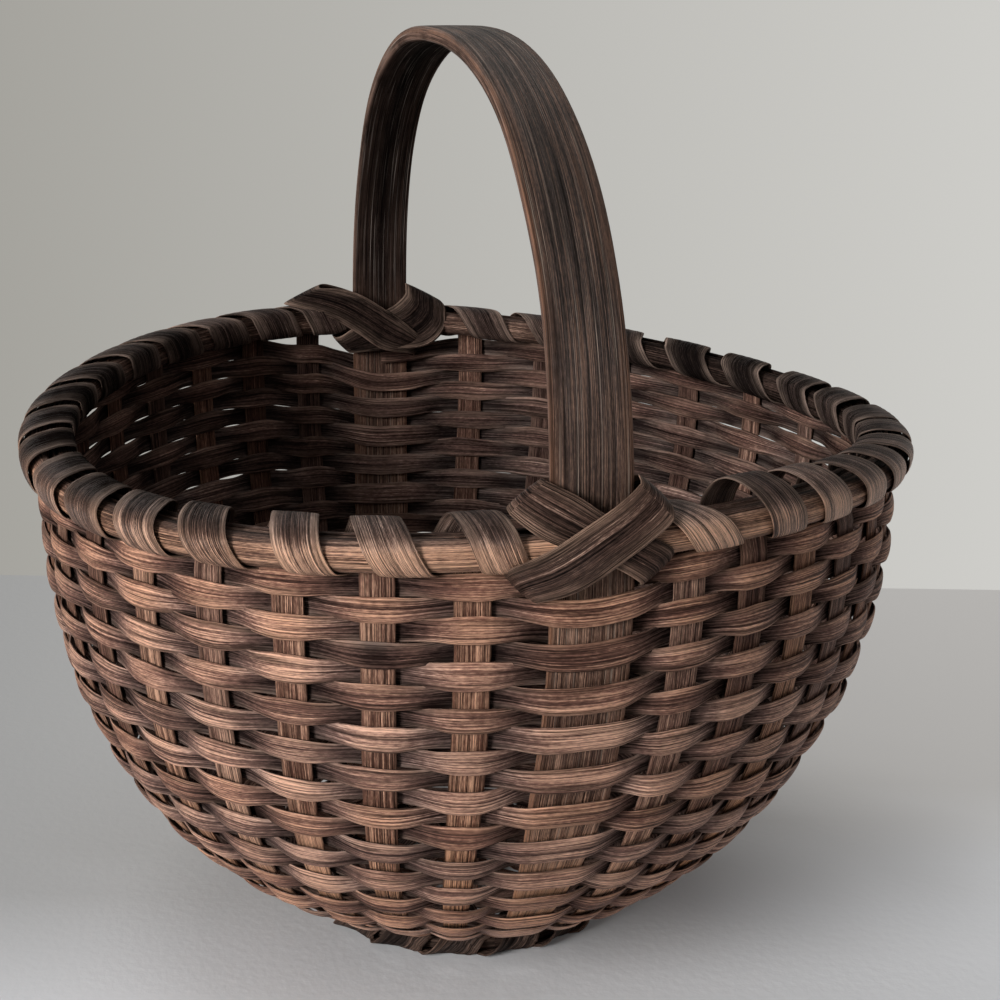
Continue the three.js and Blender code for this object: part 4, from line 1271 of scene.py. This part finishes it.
def rest_on_floor(rings):
    """What would hang through the floor lies flat on it."""
    rest = FLOOR_GAP + FOOT_LASHING_THICKNESS / 2 * (1 - SPLINT[None, :, 1])
    over = rings[..., 2] - rest
    pressed = FLOOR_SOFTNESS * np.exp(np.minimum(over, FLOOR_SOFTNESS) / FLOOR_SOFTNESS - 1)
    rings[..., 2] = rest + np.where(over < FLOOR_SOFTNESS, pressed, over)


def add_foot_lashing():
    piece = Piece("foot_lashing", "foot_wood")
    arm_turn = [float(stake_turn(i, FOOT_ALONG)) for i in BASE_ARMS]
    arm_turn.append(arm_turn[0] + TAU)
    for gap, (here, there) in enumerate(zip(arm_turn, arm_turn[1:])):
        points, rough_out = foot_wrap((here + there) / 2)
        across, out = path_frames(points, rough_out)
        u = lengths(points)
        half = np.full(len(u), FOOT_WRAP_WIDTH) / 2
        rings = section_rings(SPLINT, points, across, out, half, half, FOOT_LASHING_THICKNESS)
        rest_on_floor(rings)
        tone = 0.5 + 0.2 * np.random.default_rng(4000 + gap).uniform(-1, 1)
        look = section_look(SPLINT, np.full(len(u), tone), 0.6, 0.6)
        v = section_v(SPLINT, FOOT_LASHING_WIDTH, FOOT_LASHING_THICKNESS) + 37 * gap
        piece.add(rings, u + 53 * gap, v, look)
    piece.build()


add_handle()
add_spokes()
add_added_stakes()
add_weavers()
add_hoops()
add_fillers()
add_rim_lashings()
add_handle_lashings()
add_foot_ring()
add_foot_lashing()


# Camera at the photograph's angle.

PHOTO_SIZE = 1000
FOCAL_PIXELS = 1925.6
SENSOR = 36
PITCH, YAW, ROLL, BASKET_TURN = 0.2771, 0.0210, -0.0069, 0.2111
CAMERA_PLACE = (0.6558, -0.1405, 0.3442)


def turned(v):
    """A direction of the photograph's frame, turned with the basket."""
    c, s = math.cos(BASKET_TURN), math.sin(BASKET_TURN)
    return v[0] * s - v[1] * c, v[0] * c + v[1] * s, v[2]


def look_camera():
    cos_pitch, sin_pitch = math.cos(PITCH), math.sin(PITCH)
    forward = np.array([math.sin(YAW) * cos_pitch, math.cos(YAW) * cos_pitch, -sin_pitch])
    level_right = np.array([math.cos(YAW), -math.sin(YAW), 0])
    level_up = np.array([math.sin(YAW) * sin_pitch, math.cos(YAW) * sin_pitch, cos_pitch])
    right = math.cos(ROLL) * level_right - math.sin(ROLL) * level_up
    upward = math.sin(ROLL) * level_right + math.cos(ROLL) * level_up

    data = bpy.data.cameras.new("camera")
    data.lens = FOCAL_PIXELS / PHOTO_SIZE * SENSOR
    data.sensor_width = SENSOR
    camera = bpy.data.objects.new("camera", data)
    bpy.context.collection.objects.link(camera)
    axes = Matrix((turned(right), turned(upward), turned(-forward))).transposed()
    camera.matrix_world = Matrix.Translation(CAMERA_PLACE) @ axes.to_4x4()
    bpy.context.scene.camera = camera


look_camera()


# Floor and light

# The floor's far edge runs a little aslant behind the basket. Metres, as all of this part.
FLOOR_CORNER = np.array([-0.4281, -0.1776])
FLOOR_EDGE_WAY = np.array([0.1449, 0.5493])
FLOOR_LENGTH = 3
FLOOR_DEPTH = 3.4
FLOOR_CUTS = 90
PAPER_IN_PAINTED_SHADE = (144, 146, 147)
PAPER_IN_PAINTED_LIGHT = (234, 231, 227)
PAPER_FAR = (226, 225, 222)
PAPER_WARMTH = np.array([0.965, 1.0, 1.055])
PAPER_GLOW = 0.36


def floor_tones_with_painted_light(places):
    """The paper's colour and glow at points, with painted light and shade: darker on the left, paler towards
    the front, less glow close to the basket, and more even far from the basket.
    """
    across, towards = np.array(places).T[::-1]
    # painted light and shade: the paper is darker on the left and paler towards the front
    side = smooth((across + 0.55 + 4.4 * np.clip(towards + 0.03, 0, 0.12)) / 1.1)
    tones = lerp(np.array(srgb(PAPER_IN_PAINTED_SHADE))[None], np.array(srgb(PAPER_IN_PAINTED_LIGHT))[None], side[:, None])
    tones *= lerp(1, PAPER_WARMTH, rise(towards, -0.05, 0.1)[:, None])
    away = np.linalg.norm(places, axis=1)
    far = rise(away, 0.52, 0.5)[:, None]
    tones = lerp(tones, np.array(srgb(PAPER_FAR)), far)
    # less glow close to the basket paints a contact shadow round it
    glowing = PAPER_GLOW * rise(away, 0.04, 0.2)[:, None] + PAPER_GLOW * far
    return np.concatenate([tones, glowing], 1)


def paper():
    """Faintly rough paper. Seen straight on, a little of its paleness is its own, and the shadow stays."""
    material = bpy.data.materials.new("floor_paper")
    net = Net(material)
    tint = net.add("VertexColor", layer_name="tint").outputs
    place = net.add("TexCoord").outputs["Object"]
    fibre = net.add("TexNoise", {"Vector": place, "Scale": 260, "Detail": 3}).outputs["Fac"]
    tooth = net.add("Bump", {"Strength": 0.25, "Distance": BUMP_DEPTH, "Height": fibre})
    shader = net.nodes["Principled BSDF"]
    for socket, value in (("Normal", tooth.outputs[0]), ("Base Color", tint["Color"]), ("Roughness", 0.9)):
        net.put(shader.inputs[socket], value)
    glow = net.add("Emission", {"Color": tint["Color"]})
    share = net.math("MULTIPLY", net.seen_directly(), tint["Alpha"])
    net.choose(share, shader, glow, "Material Output")
    return material


def add_floor():
    n = FLOOR_CUTS
    edge_way = unit(FLOOR_EDGE_WAY)
    inward = np.array([edge_way[1], -edge_way[0]])
    lines = [FLOOR_CORNER + a * edge_way for a in np.linspace(-FLOOR_LENGTH, FLOOR_LENGTH, n)]
    places = [start + b * inward for start in lines for b in np.linspace(0, FLOOR_DEPTH, n)]
    corners = [i * n + j for i in range(n - 1) for j in range(n - 1)]
    mesh = bpy.data.meshes.new("floor")
    mesh.from_pydata([(x, y, 0.0) for x, y in places], [], [(c, c + 1, c + n + 1, c + n) for c in corners])
    tint = mesh.color_attributes.new(name="tint", type="FLOAT_COLOR", domain="POINT")
    tint.data.foreach_set("color", floor_tones_with_painted_light(places).ravel())
    mesh.materials.append(paper())
    floor = bpy.data.objects.new("floor", mesh)
    bpy.context.collection.objects.link(floor)


add_floor()


def add_light(name, place, aim, size, energy, spread=180):
    data = bpy.data.lights.new(name, "AREA")
    data.shape = "DISK"
    data.size = size
    data.energy = energy
    data.spread = math.radians(spread)
    lamp = bpy.data.objects.new(name, data)
    bpy.context.collection.objects.link(lamp)
    lamp.location = place
    lamp.rotation_mode = "QUATERNION"
    lamp.rotation_quaternion = (Vector(aim) - Vector(place)).to_track_quat("-Z", "Y")


add_light("key", (1.2, -1.9, 0.85), (0, 0, 0.1), 1.0, 6.9, spread=60)
add_light("top", (-0.9, -0.5, 1.9), (0, 0, 0.25), 0.8, 8)
add_light("back", (-2.2, -0.6, 1.25), (0, 0, 0.3), 1.0, 6)

ROOM_LIGHT = (225, 225, 226)
ROOM_STRENGTH = 0.22
# The backdrop's paler side is painted light.
PALER_WAY = (0.228, 0.974, 0)
BACKDROP_WITH_PAINTED_LIGHT = ((0.0, (156, 154, 148)), (0.24, (164, 162, 156)), (0.76, (206, 205, 201)), (1.0, (210, 209, 205)))


def add_world():
    """Soft light from all sides, with a backdrop that is a little paler on one side, as painted light."""
    world = bpy.data.worlds.new("studio")
    bpy.context.scene.world = world
    net = Net(world)
    background = net.nodes["Background"]
    net.put(background.inputs["Color"], srgb(ROOM_LIGHT))
    net.put(background.inputs["Strength"], ROOM_STRENGTH)
    way = net.add("TexCoord").outputs["Generated"]
    sideways = net.add("VectorMath", {0: way, 1: PALER_WAY}, operation="DOT_PRODUCT").outputs["Value"]
    shades = net.ramp(net.scaled(sideways, 1.0, 0.5), [(place, srgb(color)) for place, color in BACKDROP_WITH_PAINTED_LIGHT])
    shown = net.add("Background", {"Color": shades, "Strength": 1.0})
    net.choose(net.seen_directly(), background, shown, "World Output")


add_world()
bpy.context.scene.view_settings.view_transform = "Standard"
